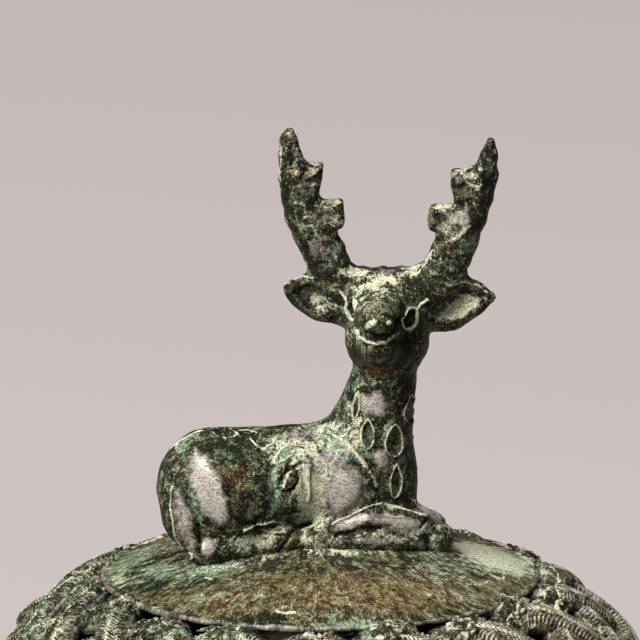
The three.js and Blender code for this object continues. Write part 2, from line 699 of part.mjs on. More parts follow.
for (const [end, spot] of Object.entries(finialSpots)) {
  place(`finial_rivet_${end}`, rivet(...finialRivetEnds(spot), FINIAL_RIVET_RADIUS), darkBronze);
  const level = bossLevel - FIT_GAP - WASHER_THICKNESS;
  place(`finial_washer_${end}`, washer(), darkBronze).position.set(spot.x, spot.y, level);
}

export default censer;
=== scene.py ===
"""A lidded bronze censer on three legs: its looks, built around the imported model. The object's lengths are
in millimetres until a mesh is made, and those of its finishes, the floor, the lamps and the camera's place
are in metres. The frame is the model's own: +Z up, origin on the floor."""

import math

import bmesh
import bpy
import numpy as np
import openvdb
from mathutils import Matrix, Vector
from mathutils.kdtree import KDTree


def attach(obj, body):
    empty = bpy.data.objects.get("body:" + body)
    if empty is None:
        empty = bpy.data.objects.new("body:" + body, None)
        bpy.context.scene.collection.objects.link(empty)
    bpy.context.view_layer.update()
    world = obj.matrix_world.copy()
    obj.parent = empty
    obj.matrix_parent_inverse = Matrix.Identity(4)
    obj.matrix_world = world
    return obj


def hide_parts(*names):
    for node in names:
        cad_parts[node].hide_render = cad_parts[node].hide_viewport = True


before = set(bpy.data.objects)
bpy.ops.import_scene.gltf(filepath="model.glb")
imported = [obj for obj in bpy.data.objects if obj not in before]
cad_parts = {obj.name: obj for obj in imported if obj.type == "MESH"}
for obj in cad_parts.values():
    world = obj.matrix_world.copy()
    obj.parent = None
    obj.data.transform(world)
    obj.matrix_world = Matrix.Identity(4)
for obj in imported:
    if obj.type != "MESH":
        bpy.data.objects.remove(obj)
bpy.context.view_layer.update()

# Bowl
# The real bowl is a cast bronze vessel with a waisted neck and an everted rim. Its belly carries a low
# plait of serpent bodies between two raised lines, modelled in the wax before casting.

BOWL_LIFT = 36.0
BELLY_RADIUS = 86.0
BELLY_RISE = 42.0
NECK_RADIUS = 76.0
SHOULDER_RISE = 32.0
RIM_RADIUS = 85.0
RIM_TOP = 124.0
BOWL_WALL = 4.0
BELLY_LEVEL = BOWL_LIFT + BELLY_RISE
NECK_LEVEL = BELLY_LEVEL + SHOULDER_RISE


def shoulder_radius(level):
    """The bowl's radius between its belly and its neck."""
    share = (level - BELLY_LEVEL) / SHOULDER_RISE
    return NECK_RADIUS + (BELLY_RADIUS - NECK_RADIUS) * (1 + np.cos(np.pi * np.clip(share, 0, 1))) / 2


def bowl_side(inset, step):
    """The bowl's side from its lowest point to its neck, moved in by an inset."""
    low = np.radians(np.arange(0, 90, step))
    under = np.stack(
        [
            (BELLY_RADIUS - inset) * np.sin(low),
            BOWL_LIFT + inset + (BELLY_RISE - inset) * (1 - np.cos(low)),
        ],
        1,
    )
    level = np.linspace(BELLY_LEVEL, NECK_LEVEL, int(60 / step))
    return np.concatenate([under, np.stack([shoulder_radius(level) - inset, level], 1)])


def cast(name, points, faces):
    """A smooth mesh object from points in millimetres and faces that all have as many corners."""
    mesh = bpy.data.meshes.new(name)
    mesh.vertices.add(len(points))
    mesh.vertices.foreach_set("co", (points / 1000).astype(np.float32).ravel())
    mesh.loops.add(faces.size)
    mesh.loops.foreach_set("vertex_index", faces.astype(np.int32).ravel())
    mesh.polygons.add(len(faces))
    mesh.polygons.foreach_set("loop_start", np.arange(0, faces.size, faces.shape[1], dtype=np.int32))
    mesh.polygons.foreach_set("use_smooth", np.ones(len(faces), bool))
    mesh.update(calc_edges=True)
    made = bpy.data.objects.new(name, mesh)
    bpy.context.scene.collection.objects.link(made)
    return made


def close_poles(made):
    """Joins the points that a turned form has on its axis."""
    shape = bmesh.new()
    shape.from_mesh(made.data)
    bmesh.ops.remove_doubles(shape, verts=shape.verts, dist=1e-6)
    bmesh.ops.recalc_face_normals(shape, faces=shape.faces)
    shape.to_mesh(made.data)
    shape.free()
    made.data.update()
    return made


def turned(name, section, sides, relief=None):
    """A form turned about the vertical axis from its section, a line of (radius, height) points that is
    closed or runs from axis to axis. relief(angle, section) says how far the surface stands out."""
    section = np.asarray(section, float)
    closed = section[0, 0] > 0
    before, after = np.roll(section, 1, 0), np.roll(section, -1, 0)
    if not closed:
        before[0], after[-1] = section[0], section[-1]
    along = after - before
    along /= np.linalg.norm(along, axis=1, keepdims=True) + 1e-12
    out = np.stack([along[:, 1], -along[:, 0]], 1)
    angle = np.linspace(0, 2 * np.pi, sides, endpoint=False)[:, None]
    rise = np.zeros((sides, len(section))) if relief is None else relief(angle, section)
    radius = np.maximum(section[:, 0] + out[:, 0] * rise, 0)
    height = section[:, 1] + out[:, 1] * rise
    points = np.stack([radius * np.cos(angle), radius * np.sin(angle), height], -1)
    count = len(section)
    i = np.arange(sides)[:, None]
    j = np.arange(count if closed else count - 1)[None, :]
    here, next_side, next_point = i * count, (i + 1) % sides * count, (j + 1) % count
    faces = np.stack([here + j, next_side + j, next_side + next_point, here + next_point], -1)
    return close_poles(cast(name, points.reshape(-1, 3), faces.reshape(-1, 4)))


def even(section, step):
    """A section with points no further apart than a step."""
    section = np.asarray(section, float)
    parts = []
    for a, b in zip(section[:-1], section[1:]):
        count = max(1, int(np.ceil(np.linalg.norm(b - a) / step)))
        parts.append(a + (b - a) * np.arange(count)[:, None] / count)
    return np.concatenate(parts + [section[-1:]])


def lumps(points, size, seed):
    """Even, soft lumps from -1 to 1 with a size in millimetres."""
    table = np.random.default_rng(seed).uniform(-1, 1, (32, 32, 32))
    spot = np.asarray(points) / size
    low = np.floor(spot).astype(int)
    share = spot - low
    share = share * share * (3 - 2 * share)
    total = np.zeros(spot.shape[:-1])
    for corner in np.ndindex(2, 2, 2):
        index = (low + corner) % 32
        weight = np.where(corner, share, 1 - share).prod(-1)
        total += weight * table[index[..., 0], index[..., 1], index[..., 2]]
    return total


def round_places(angle, section):
    """The places of a turned form's points, one row for each angle."""
    radius, height = section[:, 0], section[:, 1]
    level = height + 0 * angle
    return np.stack([radius * np.cos(angle), radius * np.sin(angle), level], -1)


def places_of(made):
    """A piece's points in millimetres, and the way out at each."""
    mesh = made.data
    places = np.empty(len(mesh.vertices) * 3, np.float32)
    mesh.vertices.foreach_get("co", places)
    normals = np.empty(len(mesh.vertices) * 3, np.float32)
    mesh.vertex_normals.foreach_get("vector", normals)
    return places.reshape(-1, 3).astype(float) * 1000, normals.reshape(-1, 3).astype(float)


def mark_hollows(made, passes, reach):
    """Writes how deep each point lies in a hollow, from -1 on a ridge to 1, as the attribute hollow. The
    surface is smoothed over some passes, and a point's depth under it is set against a reach."""
    mesh = made.data
    places, normals = places_of(made)
    edges = np.empty(len(mesh.edges) * 2, np.int32)
    mesh.edges.foreach_get("vertices", edges)
    a, b = edges.reshape(-1, 2).T
    count = np.bincount(a, minlength=len(places)) + np.bincount(b, minlength=len(places))
    smooth = places.copy()
    for _ in range(passes):
        total = [
            np.bincount(a, smooth[b, k], len(places)) + np.bincount(b, smooth[a, k], len(places))
            for k in range(3)
        ]
        smooth = 0.5 * smooth + 0.5 * np.stack(total, 1) / np.maximum(count, 1)[:, None]
    depth = ((smooth - places) * normals).sum(1)
    write_mark(made, "hollow", np.clip(depth / reach, -1, 1))


def write_mark(made, name, values):
    """Writes one number for each point as an attribute that the finishes read."""
    attribute = made.data.attributes.get(name) or made.data.attributes.new(name, "FLOAT", "POINT")
    attribute.data.foreach_set("value", np.asarray(values, np.float32))


def settle(made, finish, body, cad_node):
    """Gives a piece its finish, and sets it on its body in place of the plain piece."""
    made.data.materials.append(finish)
    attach(made, body)
    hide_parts(cad_node)
    return made


def node(tree, kind, inputs=(), **settings):
    """A shader node with its settings, and its inputs linked or set."""
    made = tree.nodes.new("ShaderNode" + kind)
    for key, value in settings.items():
        setattr(made, key, value)
    for key, value in inputs.items() if isinstance(inputs, dict) else enumerate(inputs):
        if isinstance(value, bpy.types.NodeSocket):
            tree.links.new(value, made.inputs[key])
        elif value is not None:
            made.inputs[key].default_value = value
    return made


def math_of(tree, operation, *values, clamp=False):
    """A sum, product or other reckoning of values."""
    return node(tree, "Math", values, operation=operation, use_clamp=clamp).outputs[0]


def times(tree, a, b, clamp=False):
    """The product of two values."""
    return math_of(tree, "MULTIPLY", a, b, clamp=clamp)


def weigh(tree, value, share, rest, clamp=False):
    """A share of a value, added to the rest."""
    return math_of(tree, "MULTIPLY_ADD", value, share, rest, clamp=clamp)


def greater(tree, a, b):
    """The greater of two values."""
    return math_of(tree, "MAXIMUM", a, b)


def mix_colour(tree, share, a, b):
    """Colour b over colour a by a share."""
    made = node(tree, "Mix", {0: share, 6: a, 7: b}, data_type="RGBA")
    return made.outputs[2]


def between(tree, value, low, high, to_low=0.0, to_high=1.0):
    """A value's smooth place between two limits."""
    made = node(tree, "MapRange", (value, low, high, to_low, to_high), interpolation_type="SMOOTHSTEP")
    return made.outputs[0]


def grain(tree, place, size, detail=2.0, roughness=0.5, distortion=0.0):
    """Soft noise with features of a size in millimetres."""
    inputs = {
        "Vector": place,
        "Scale": 1000.0 / size,
        "Detail": detail,
        "Roughness": roughness,
        "Distortion": distortion,
    }
    return node(tree, "TexNoise", inputs).outputs[0]


def new_group(name, inputs, outputs):
    """A node group with its named sockets, and its own input and output nodes."""
    tree = bpy.data.node_groups.new(name, "ShaderNodeTree")
    for label, kind, value in inputs:
        socket = tree.interface.new_socket(label, in_out="INPUT", socket_type="NodeSocket" + kind)
        if value is not None:
            socket.default_value = value
    for label, kind in outputs:
        tree.interface.new_socket(label, in_out="OUTPUT", socket_type="NodeSocket" + kind)
    return tree, tree.nodes.new("NodeGroupInput").outputs, tree.nodes.new("NodeGroupOutput").inputs


def casting_skin():
    """The skin of an old casting: pits, fine grain and scratches, as a height in millimetres."""
    tree, given, put = new_group(
        "casting skin",
        [("Place", "Vector", None), ("Pits", "Float", 0.5), ("Scratches", "Float", 0.5)],
        [("Height", "Float"), ("Pitted", "Float")],
    )
    fine = grain(tree, given["Place"], 0.55, 3, 0.65)
    coarse = grain(tree, given["Place"], 2.4, 3, 0.6)
    pits = between(tree, fine, 0.43, 0.32)
    patchy = between(tree, grain(tree, given["Place"], 6.0, 2), 0.38, 0.6)
    pitted = times(tree, times(tree, pits, patchy), given["Pits"])
    stretched = node(tree, "Mapping", {"Vector": given["Place"], "Scale": (1.0, 5.0, 2.2)}).outputs[0]
    turned_place = node(tree, "Mapping", {"Vector": stretched, "Rotation": (0.3, 0.5, 0.7)}).outputs[0]
    lines = between(tree, grain(tree, turned_place, 1.6, 3, 0.7), 0.58, 0.7)
    scratches = times(tree, lines, given["Scratches"])
    height = weigh(tree, coarse, 0.1, times(tree, fine, 0.09))
    height = weigh(tree, pitted, -0.16, height)
    height = weigh(tree, scratches, -0.05, height)
    tree.links.new(height, put["Height"])
    tree.links.new(greater(tree, pitted, scratches), put["Pitted"])
    return tree


# The worn mark carries rubbed metal, and also painted sheens and glints, which the patina gives a pale
# colour.
PATINA_MARKS = ("hollow", "rim", "worn", "green", "rust")


def patina():
    """What age leaves on bronze: a near-black skin, brown and green stains, rubbed places whose pale metal is
    partly a painted sheen, and a pale crust in the hollows and along the raised lines."""
    marks = [(mark.capitalize() + " Mark", "Float", 0.0) for mark in PATINA_MARKS]
    amounts = [(label, "Float", 0.5) for label in ("Pitted", "Crust", "Verdigris", "Rust", "Speckle")]
    results = [("Color", "Color")]
    results += [(label, "Float") for label in ("Roughness", "Metallic", "Crusted", "Sheen")]
    tree, given, put = new_group("patina", [("Place", "Vector", None)] + marks + amounts, results)
    place = given["Place"]
    hollow, rim = given["Hollow Mark"], given["Rim Mark"]
    wide = grain(tree, place, 22, 3, 0.55, 0.3)
    broad = grain(tree, place, 8, 4, 0.62, 0.4)
    middling = grain(tree, place, 2.6, 4, 0.7, 0.4)
    fine = grain(tree, place, 0.9, 4, 0.75)
    dust = grain(tree, place, 0.4, 2, 0.7)

    # Bare metal where hands have rubbed it, broken by the noise at its edges.
    ridge = times(tree, hollow, -0.5, clamp=True)
    rubbed = greater(tree, given["Worn Mark"], ridge)
    ragged = weigh(tree, fine, 0.6, times(tree, middling, 1.2))
    rubbed = math_of(tree, "ADD", rubbed, math_of(tree, "SUBTRACT", ragged, 0.9))
    bare = between(tree, rubbed, 0.25, 0.85)
    covered = math_of(tree, "SUBTRACT", 1.0, times(tree, bare, 0.85))

    # The near-black skin, with hatched metal in it where it is bare; that metal's pale colour is partly
    # painted sheen.
    near_black, brown_black = (0.008, 0.012, 0.006, 1), (0.02, 0.015, 0.009, 1)
    grey_green = (0.04, 0.046, 0.026, 1)
    dark = mix_colour(tree, between(tree, wide, 0.4, 0.62), near_black, brown_black)
    dark = mix_colour(tree, between(tree, middling, 0.48, 0.66), dark, grey_green)
    drawn = {"Vector": place, "Scale": (1.6, 4.5, 4.5), "Rotation": (0, 0.5, 0.25)}
    hatched = grain(tree, node(tree, "Mapping", drawn).outputs[0], 1.5, 3, 0.7)
    dull_metal, painted_sheen_metal = (0.16, 0.147, 0.124, 1), (0.53, 0.49, 0.43, 1)
    rubbed_metal_and_sheen = mix_colour(tree, between(tree, hatched, 0.36, 0.58), dull_metal, painted_sheen_metal)
    skin = mix_colour(tree, bare, dark, rubbed_metal_and_sheen)

    # Brown stains, reddish and olive in places.
    stained = weigh(tree, middling, 0.55, times(tree, broad, 0.45))
    rusted = weigh(tree, given["Rust"], 0.22, stained)
    rusted = weigh(tree, given["Rust Mark"], 0.3, rusted)
    rust_most = greater(tree, given["Rust"], given["Rust Mark"])
    brown = times(tree, between(tree, rusted, 0.58, 0.66), rust_most, clamp=True)
    mottled = weigh(tree, fine, 0.6, times(tree, middling, 0.4))
    dark_umber, ochre = (0.02, 0.012, 0.007, 1), (0.4, 0.28, 0.11, 1)
    umber = mix_colour(tree, between(tree, mottled, 0.42, 0.66), dark_umber, ochre)
    red = between(tree, weigh(tree, fine, 0.5, broad), 0.64, 0.88, 0.0, 0.6)
    umber = mix_colour(tree, red, umber, (0.09, 0.038, 0.018, 1))
    olive = between(tree, weigh(tree, dust, 0.6, middling), 0.78, 0.98, 0.0, 0.8)
    umber = mix_colour(tree, olive, umber, (0.15, 0.165, 0.075, 1))
    skin = mix_colour(tree, times(tree, brown, covered), skin, umber)

    # Verdigris, most of it in the hollows.
    green_field = weigh(tree, wide, 0.45, times(tree, middling, 0.55))
    green_field = weigh(tree, hollow, 0.06, green_field)
    green_field = weigh(tree, given["Green Mark"], 0.2, green_field)
    green_most = greater(tree, given["Verdigris"], given["Green Mark"])
    green = times(tree, between(tree, green_field, 0.5, 0.6), green_most, clamp=True)
    green = times(tree, green, covered)
    deep_green, pale_green = (0.02, 0.05, 0.03, 1), (0.33, 0.48, 0.31, 1)
    jade = mix_colour(tree, between(tree, fine, 0.36, 0.64), deep_green, pale_green)
    skin = mix_colour(tree, green, skin, jade)

    # Pale specks and the floors of the pits.
    speck = weigh(tree, dust, 0.4, times(tree, fine, 0.6))
    speck = weigh(tree, math_of(tree, "SUBTRACT", broad, 0.5), 0.35, speck)
    speck = weigh(tree, rim, 0.06, speck)
    speck = times(tree, between(tree, speck, 0.53, 0.6), given["Speckle"], clamp=True)
    speck = greater(tree, speck, times(tree, given["Pitted"], 0.3))
    speck = times(tree, speck, covered)
    moss, buff = (0.14, 0.17, 0.1, 1), (0.37, 0.36, 0.25, 1)
    motes = mix_colour(tree, between(tree, middling, 0.4, 0.6), moss, buff)
    skin = mix_colour(tree, speck, skin, motes)

    # The pale crust, and dust over everything that isn't bare.
    laid = weigh(tree, hollow, 0.22, times(tree, rim, 0.95))
    uneven = weigh(tree, middling, 1.4, times(tree, fine, 1.1))
    laid = math_of(tree, "ADD", laid, math_of(tree, "SUBTRACT", uneven, 1.28))
    laid = weigh(tree, bare, -0.3, laid)
    crust = times(tree, between(tree, laid, 0.2, 0.46), given["Crust"], clamp=True)
    straw, sea_green, bone = (0.45, 0.435, 0.26, 1), (0.3, 0.42, 0.28, 1), (0.54, 0.525, 0.39, 1)
    pale = mix_colour(tree, between(tree, broad, 0.42, 0.58), straw, sea_green)
    pale = mix_colour(tree, between(tree, dust, 0.4, 0.6), pale, bone)
    colour = mix_colour(tree, crust, skin, pale)
    specked = between(tree, dust, 0.34, 0.66, -0.48, 0.36)
    specked = weigh(tree, specked, weigh(tree, bare, -0.6, 1.0), 1.0)
    colour = node(tree, "VectorMath", {0: colour, "Scale": specked}, operation="SCALE").outputs[0]

    # All that lies on the metal dulls it.
    dull = crust
    for layer in (speck, green, brown):
        dull = greater(tree, dull, times(tree, layer, 0.6))
    shine = math_of(tree, "SUBTRACT", 1.0, dull)
    smooth = weigh(tree, middling, 0.25, 0.3)
    roughness = weigh(tree, dull, 0.42, smooth, clamp=True)
    metallic = times(tree, shine, times(tree, bare, 0.34))
    sheen = times(tree, shine, times(tree, bare, 0.5))
    for (label, _), value in zip(results, (colour, roughness, metallic, crust, sheen)):
        tree.links.new(value, put[label])
    return tree


CASTING_SKIN = casting_skin()
PATINA = patina()


def bronze(name, crust, verdigris, rust, speckle, pits=0.5, scratches=0.4, place_of=None):
    """Old cast bronze, with how much of each kind of age it shows. place_of draws out the places of its
    stains, where they run."""
    material = bpy.data.materials.new(name)
    material.use_nodes = True
    tree = material.node_tree
    shader = tree.nodes["Principled BSDF"]
    place = node(tree, "TexCoord").outputs["Object"]
    if place_of:
        place = place_of(tree, place)
    skin = node(tree, "Group", node_tree=CASTING_SKIN)
    age = node(tree, "Group", node_tree=PATINA)
    skin.inputs["Pits"].default_value = pits
    skin.inputs["Scratches"].default_value = scratches
    for label, value in (("Crust", crust), ("Verdigris", verdigris), ("Rust", rust), ("Speckle", speckle)):
        age.inputs[label].default_value = value
    for mark in PATINA_MARKS:
        read = node(tree, "Attribute", attribute_name=mark)
        tree.links.new(read.outputs["Fac"], age.inputs[mark.capitalize() + " Mark"])
    tree.links.new(place, skin.inputs["Place"])
    tree.links.new(place, age.inputs["Place"])
    tree.links.new(skin.outputs["Pitted"], age.inputs["Pitted"])
    height = weigh(tree, age.outputs["Crusted"], 0.08, skin.outputs["Height"])
    bump = node(tree, "Bump", {"Strength": 1.0, "Distance": 0.001, "Height": height})
    tree.links.new(bump.outputs[0], shader.inputs["Normal"])
    for label, source in (
        ("Base Color", "Color"),
        ("Roughness", "Roughness"),
        ("Metallic", "Metallic"),
        ("Coat Weight", "Sheen"),
    ):
        tree.links.new(age.outputs[source], shader.inputs[label])
    shader.inputs["Specular IOR Level"].default_value = 0.04
    shader.inputs["Specular Tint"].default_value = (1.0, 0.92, 0.94, 1)
    shader.inputs["Coat Roughness"].default_value = 0.3
    shader.inputs["Coat IOR"].default_value = 1.6
    return material


OUTER_SIDE = even(
    np.concatenate(
        [
            bowl_side(0, 1.5),
            [(76.3, 112.0), (77.6, 114.0), (80.2, 116.2), (83.6, 117.6), (84.8, 118.6)],
            [(RIM_RADIUS, 120.0), (RIM_RADIUS, 122.6), (84.6, 123.6), (83.6, RIM_TOP)],
        ]
    ),
    1.1,
)
INNER_SIDE = even(np.concatenate([[(72.6, RIM_TOP), (72.0, 123.4)], bowl_side(BOWL_WALL, 4)[::-1]]), 5.0)


PLAIT_STRANDS = 3
PLAIT_TURNS = 8
PLAIT_LEVEL = 79.0
PLAIT_SWING = 10.5
PLAIT_WIDTH = 4.4
PLAIT_RISE = 1.3
BAND_LINES = (60.5, 97.5, 101.0)
BAND_LINE_WIDTH = 0.9
BAND_LINE_RISE = 0.9


def belly_band(angle, section):
    """The plait on the belly, between two raised lines, and the casting's unevenness."""
    level = section[:, 1]
    outside = np.arange(len(section)) < len(OUTER_SIDE)
    plait = np.zeros((len(angle), len(section)))
    for number in range(PLAIT_STRANDS):
        phase = PLAIT_TURNS * angle + 2 * np.pi * number / PLAIT_STRANDS
        line = PLAIT_LEVEL + PLAIT_SWING * np.cos(phase)
        slope = PLAIT_TURNS * PLAIT_SWING * np.sin(phase) / BELLY_RADIUS
        across = (level - line) / np.sqrt(1 + slope**2) / PLAIT_WIDTH
        body = np.sqrt(np.clip(1 - across**2, 0, 1)) * (0.8 + 0.2 * np.sin(2 * phase))
        plait = np.maximum(plait, body)
    lines = sum(np.exp(-(((level - at) / BAND_LINE_WIDTH) ** 2)) for at in BAND_LINES)
    places = round_places(angle, section)
    uneven = 0.12 * lumps(places, 4.0, 11) + 0.06 * lumps(places, 1.7, 12)
    return (PLAIT_RISE * plait + BAND_LINE_RISE * lines + uneven) * outside


bowl = turned("bowl_vessel", np.concatenate([OUTER_SIDE, INNER_SIDE]), 400, belly_band)
mark_hollows(bowl, 25, 0.5)
settle(bowl, bronze("bowl bronze", crust=0.7, verdigris=0.7, rust=0.6, speckle=0.5), "bowl", "bowl")

# Legs
# Three cast bronze legs with a beast's face on the knee and a paw for a foot, each modelled in wax by
# itself. A rivet through the bowl's floor holds each of them.

class Wax:
    """A lump of modelling wax: the distance to its surface, in millimetres, on an even grid."""

    FAR = 6.0

    def __init__(self, low, high, step):
        self.low = np.array(low, float)
        self.step = step
        size = np.ceil((np.array(high, float) - self.low) / step).astype(int) + 1
        self.field = np.full(size, self.FAR, np.float32)

    def window(self, low, high):
        """The grid's part between two corners: its slices, and its places along each axis."""
        start = np.clip(np.floor((low - self.low) / self.step).astype(int), 0, None)
        stop = np.minimum(np.ceil((high - self.low) / self.step).astype(int) + 1, self.field.shape)
        stop = np.maximum(stop, start)
        axes = [
            (self.low[k] + self.step * np.arange(start[k], stop[k])).astype(np.float32).reshape(
                [-1 if k == m else 1 for m in range(3)]
            )
            for k in range(3)
        ]
        return tuple(slice(a, b) for a, b in zip(start, stop)), axes

    def press(self, where, shape, blend):
        """Adds a shape, with a fillet where it meets the rest."""
        held = self.field[where]
        self.field[where] = soft_least(shape, held, blend)

    def bar(self, stations, room, flat, knit):
        """The window round a limb, with some room, and the distance to the limb there."""
        rows = np.array(stations, float)
        edge = rows[:, 3:].max() + room
        where, axes = self.window(rows[:, :3].min(0) - edge, rows[:, :3].max(0) + edge)
        shape = None
        for a, b in zip(rows[:-1], rows[1:]):
            part = cone(axes, a[:3], b[:3], a[3], b[3], flat)
            shape = part if shape is None else soft_least(part, shape, knit)
        return where, shape

    def limb(self, stations, blend=1.0, flat=None, knit=1.2):
        """Adds a limb through stations of (x, y, z, radius), pressed flat along a way if asked."""
        where, shape = self.bar(stations, blend + 2.5, flat, knit)
        self.press(where, shape, blend)

    def ball(self, centre, radii, blend=1.0):
        """Adds a stretched ball."""
        centre, radii = np.array(centre, float), np.array(radii, float)
        edge = blend + 2.5
        where, axes = self.window(centre - radii - edge, centre + radii + edge)
        self.press(where, egg(axes, centre, radii), blend)

    def scoop(self, centre, radii, blend=0.6):
        """Takes a ball out."""
        centre, radii = np.array(centre, float), np.array(radii, float)
        where, axes = self.window(centre - radii - blend - 1, centre + radii + blend + 1)
        self.field[where] = -soft_least(egg(axes, centre, radii), -self.field[where], blend)

    def scoop_limb(self, stations, blend=0.6, knit=1.2):
        """Takes a limb out."""
        where, shape = self.bar(stations, blend + 1, None, knit)
        self.field[where] = -soft_least(shape, -self.field[where], blend)

    def hoop(self, centre, radius, wire, blend=0.6):
        """Adds a ring of round bar in the plane across Y."""
        edge = np.array([radius + wire + 2, wire + 2, radius + wire + 2])
        where, axes = self.window(np.array(centre) - edge, np.array(centre) + edge)
        x, y, z = (axis - c for axis, c in zip(axes, centre))
        ring = np.sqrt((np.sqrt(x * x + z * z) - radius) ** 2 + y * y) - wire
        self.press(where, ring, blend)

    def block(self, centre, half_sizes, lean, blend=0.8, edge=0.4):
        """Adds a block with eased edges, leaning in the plane of X and Z."""
        half = np.array(half_sizes, float)
        reach = np.linalg.norm(half) + 2
        where, axes = self.window(np.array(centre) - reach, np.array(centre) + reach)
        x, y, z = (axis - c for axis, c in zip(axes, centre))
        c, s = math.cos(math.radians(lean)), math.sin(math.radians(lean))
        leaning = (x * c - z * s, y, x * s + z * c)
        gaps = [np.abs(place) - size + edge for place, size in zip(leaning, half)]
        outside = np.sqrt(sum(np.maximum(gap, 0) ** 2 for gap in gaps))
        inside = np.minimum(np.maximum(np.maximum(gaps[0], gaps[1]), gaps[2]), 0)
        self.press(where, outside + inside - edge, blend)

    def keep(self, distance):
        """Trims the wax to where a distance, given on the whole grid, is below zero."""
        _, axes = self.window(self.low, self.low + self.step * np.array(self.field.shape))
        self.field = np.maximum(self.field, distance(*axes).astype(np.float32))

    def surface(self):
        """The surface as points and four-cornered faces that look out."""
        grid = openvdb.FloatGrid(self.FAR)
        grid.copyFromArray(np.ascontiguousarray(self.field))
        grid.transform = openvdb.createLinearTransform(voxelSize=self.step)
        points, faces = grid.convertToQuads(0.0)
        points, faces = np.asarray(points, float), np.asarray(faces, np.int64)
        a, b, c = (points[faces[:, k]] for k in range(3))
        if (a * np.cross(b, c)).sum() < 0:
            faces = faces[:, ::-1]
        return points + self.low, faces


def soft_least(a, b, blend):
    """The lesser of two distances, with a fillet where they are alike."""
    share = np.clip(0.5 + 0.5 * (b - a) / blend, 0, 1)
    return (b + (a - b) * share - blend * share * (1 - share)).astype(np.float32)


def cone(axes, a, b, radius_a, radius_b, flat=None):
    """The distance to a round bar that tapers, on a window's places, pressed flat along a way if asked."""
    x, y, z = (axis - start for axis, start in zip(axes, a))
    way = np.array(b, float) - a
    if flat:
        face, share = np.array(flat[0], float), flat[1]
        face /= np.linalg.norm(face)
        lift = (x * face[0] + y * face[1] + z * face[2]) * (1 / share - 1)
        x, y, z = x + lift * face[0], y + lift * face[1], z + lift * face[2]
        way = way + (way @ face) * (1 / share - 1) * face
    t = np.clip((x * way[0] + y * way[1] + z * way[2]) / (way @ way), 0, 1)
    across = (x - t * way[0]) ** 2 + (y - t * way[1]) ** 2 + (z - t * way[2]) ** 2
    distance = np.sqrt(across) - (radius_a + (radius_b - radius_a) * t)
    return distance * (flat[1] if flat else 1.0)


def egg(axes, centre, radii):
    """The distance to a stretched ball, nearly, on a window's places."""
    x, y, z = ((axis - c) / r for axis, c, r in zip(axes, centre, radii))
    length = np.sqrt(x * x + y * y + z * z) + 1e-6
    slope = np.sqrt((x / radii[0]) ** 2 + (y / radii[1]) ** 2 + (z / radii[2]) ** 2) + 1e-6
    return length * (length - 1) / slope


def facing(points, faces):
    """The way out at each point of a surface."""
    a, b, c, d = (points[faces[:, k]] for k in (0, 1, 2, -1))
    normal = np.cross(c - a, d - b)
    out = np.zeros_like(points)
    for corner in faces.T:
        for axis in range(3):
            out[:, axis] += np.bincount(corner, normal[:, axis], len(points))
    return out / (np.linalg.norm(out, axis=1, keepdims=True) + 1e-9)


def underside(angle, standoff=0.0):
    """A place on the bowl's underside, as its radius and height, moved out by a standoff."""
    place = math.radians(angle)
    out = np.array([BELLY_RISE * math.sin(place), -BELLY_RADIUS * math.cos(place)])
    out /= np.linalg.norm(out)
    spot = np.array([BELLY_RADIUS * math.sin(place), BOWL_LIFT + BELLY_RISE * (1 - math.cos(place))])
    return spot + out * standoff, out


def turn_to(points, angle):
    """Points turned about the bowl's axis."""
    c, s = math.cos(math.radians(angle)), math.sin(math.radians(angle))
    return points @ np.array([[c, s, 0], [-s, c, 0], [0, 0, 1]])


def to_hand(stations, hand):
    """Stations on one hand of a face: -1 mirrors them."""
    return [(x, hand * y, z, radius) for x, y, z, radius in stations]


LEG_SEAT = 50
leg_wax = Wax((48, -15, -1.5), (90, 15, 69), 0.55)
seat, _ = underside(LEG_SEAT)
knee, _ = underside(LEG_SEAT, 6.5)
hip, _ = underside(70)
haunch, _ = underside(60, 2.2)
leg_wax.limb(
    [
        (hip[0], 0, hip[1], 5.0),
        (haunch[0], 0, haunch[1], 8.5),
        (knee[0], 0, knee[1], 10.6),
        (seat[0] + 2, 0, knee[1] * 0.62, 7.4),
        (seat[0] - 2, 0, knee[1] * 0.3, 5.8),
        (seat[0] + 1.5, 0, 5.0, 7.0),
    ],
    knit=5,
)
for side, reach in ((-1.35, 6.6), (-0.45, 8.8), (0.45, 8.8), (1.35, 6.6)):
    root = (seat[0] + 2.5, side * 3.2, 5.6, 2.7)
    joint = (seat[0] + reach - 1.2, side * 4.2, 4.6, 2.5)
    leg_wax.limb([root, joint, (seat[0] + reach + 1.4, side * 4.5, 1.9, 2.0)], 0.7)
    claw = [(seat[0] + reach + 2, side * 4.5, 2.2, 1.1), (seat[0] + reach + 3.6, side * 4.6, 0.9, 0.5)]
    leg_wax.limb(claw, 0.4)
for hand in (-1, 1):
    brow = [(75.5, 1.4, 54.5, 1.7), (77.0, 4.6, 55.4, 1.7), (73.5, 8.6, 54.6, 1.3)]
    leg_wax.limb(to_hand(brow, hand), 0.8)
    leg_wax.ball((76.6, hand * 4.3, 51.2), (2.3, 2.5, 2.1), 0.5)
    leg_wax.scoop((79.0, hand * 4.4, 51.2), (0.9, 0.9, 0.9), 0.3)
    ruff = [(73.5, 9.0, 50, 1.8), (72, 10.4, 46, 2.2), (74.5, 8.2, 42, 1.7)]
    leg_wax.limb(to_hand(ruff, hand), 0.7)
    jowl = [(76.6, 5.6, 46.6, 1.6), (75.6, 7.4, 44.4, 1.3), (77.0, 5.4, 42.6, 1.1)]
    leg_wax.limb(to_hand(jowl, hand), 0.6)
    leg_wax.scoop((81.4, hand * 1.3, 44.6), (0.9, 0.7, 0.7), 0.3)
leg_wax.limb([(76.2, 0, 53.5, 1.9), (78.2, 0, 48.6, 2.3), (78.9, 0, 45.0, 2.9)], 0.9)
leg_wax.limb([(77.0, -5, 40.6, 1.2), (78.4, 0, 41.6, 1.3), (77.0, 5, 40.6, 1.2)], 0.6)
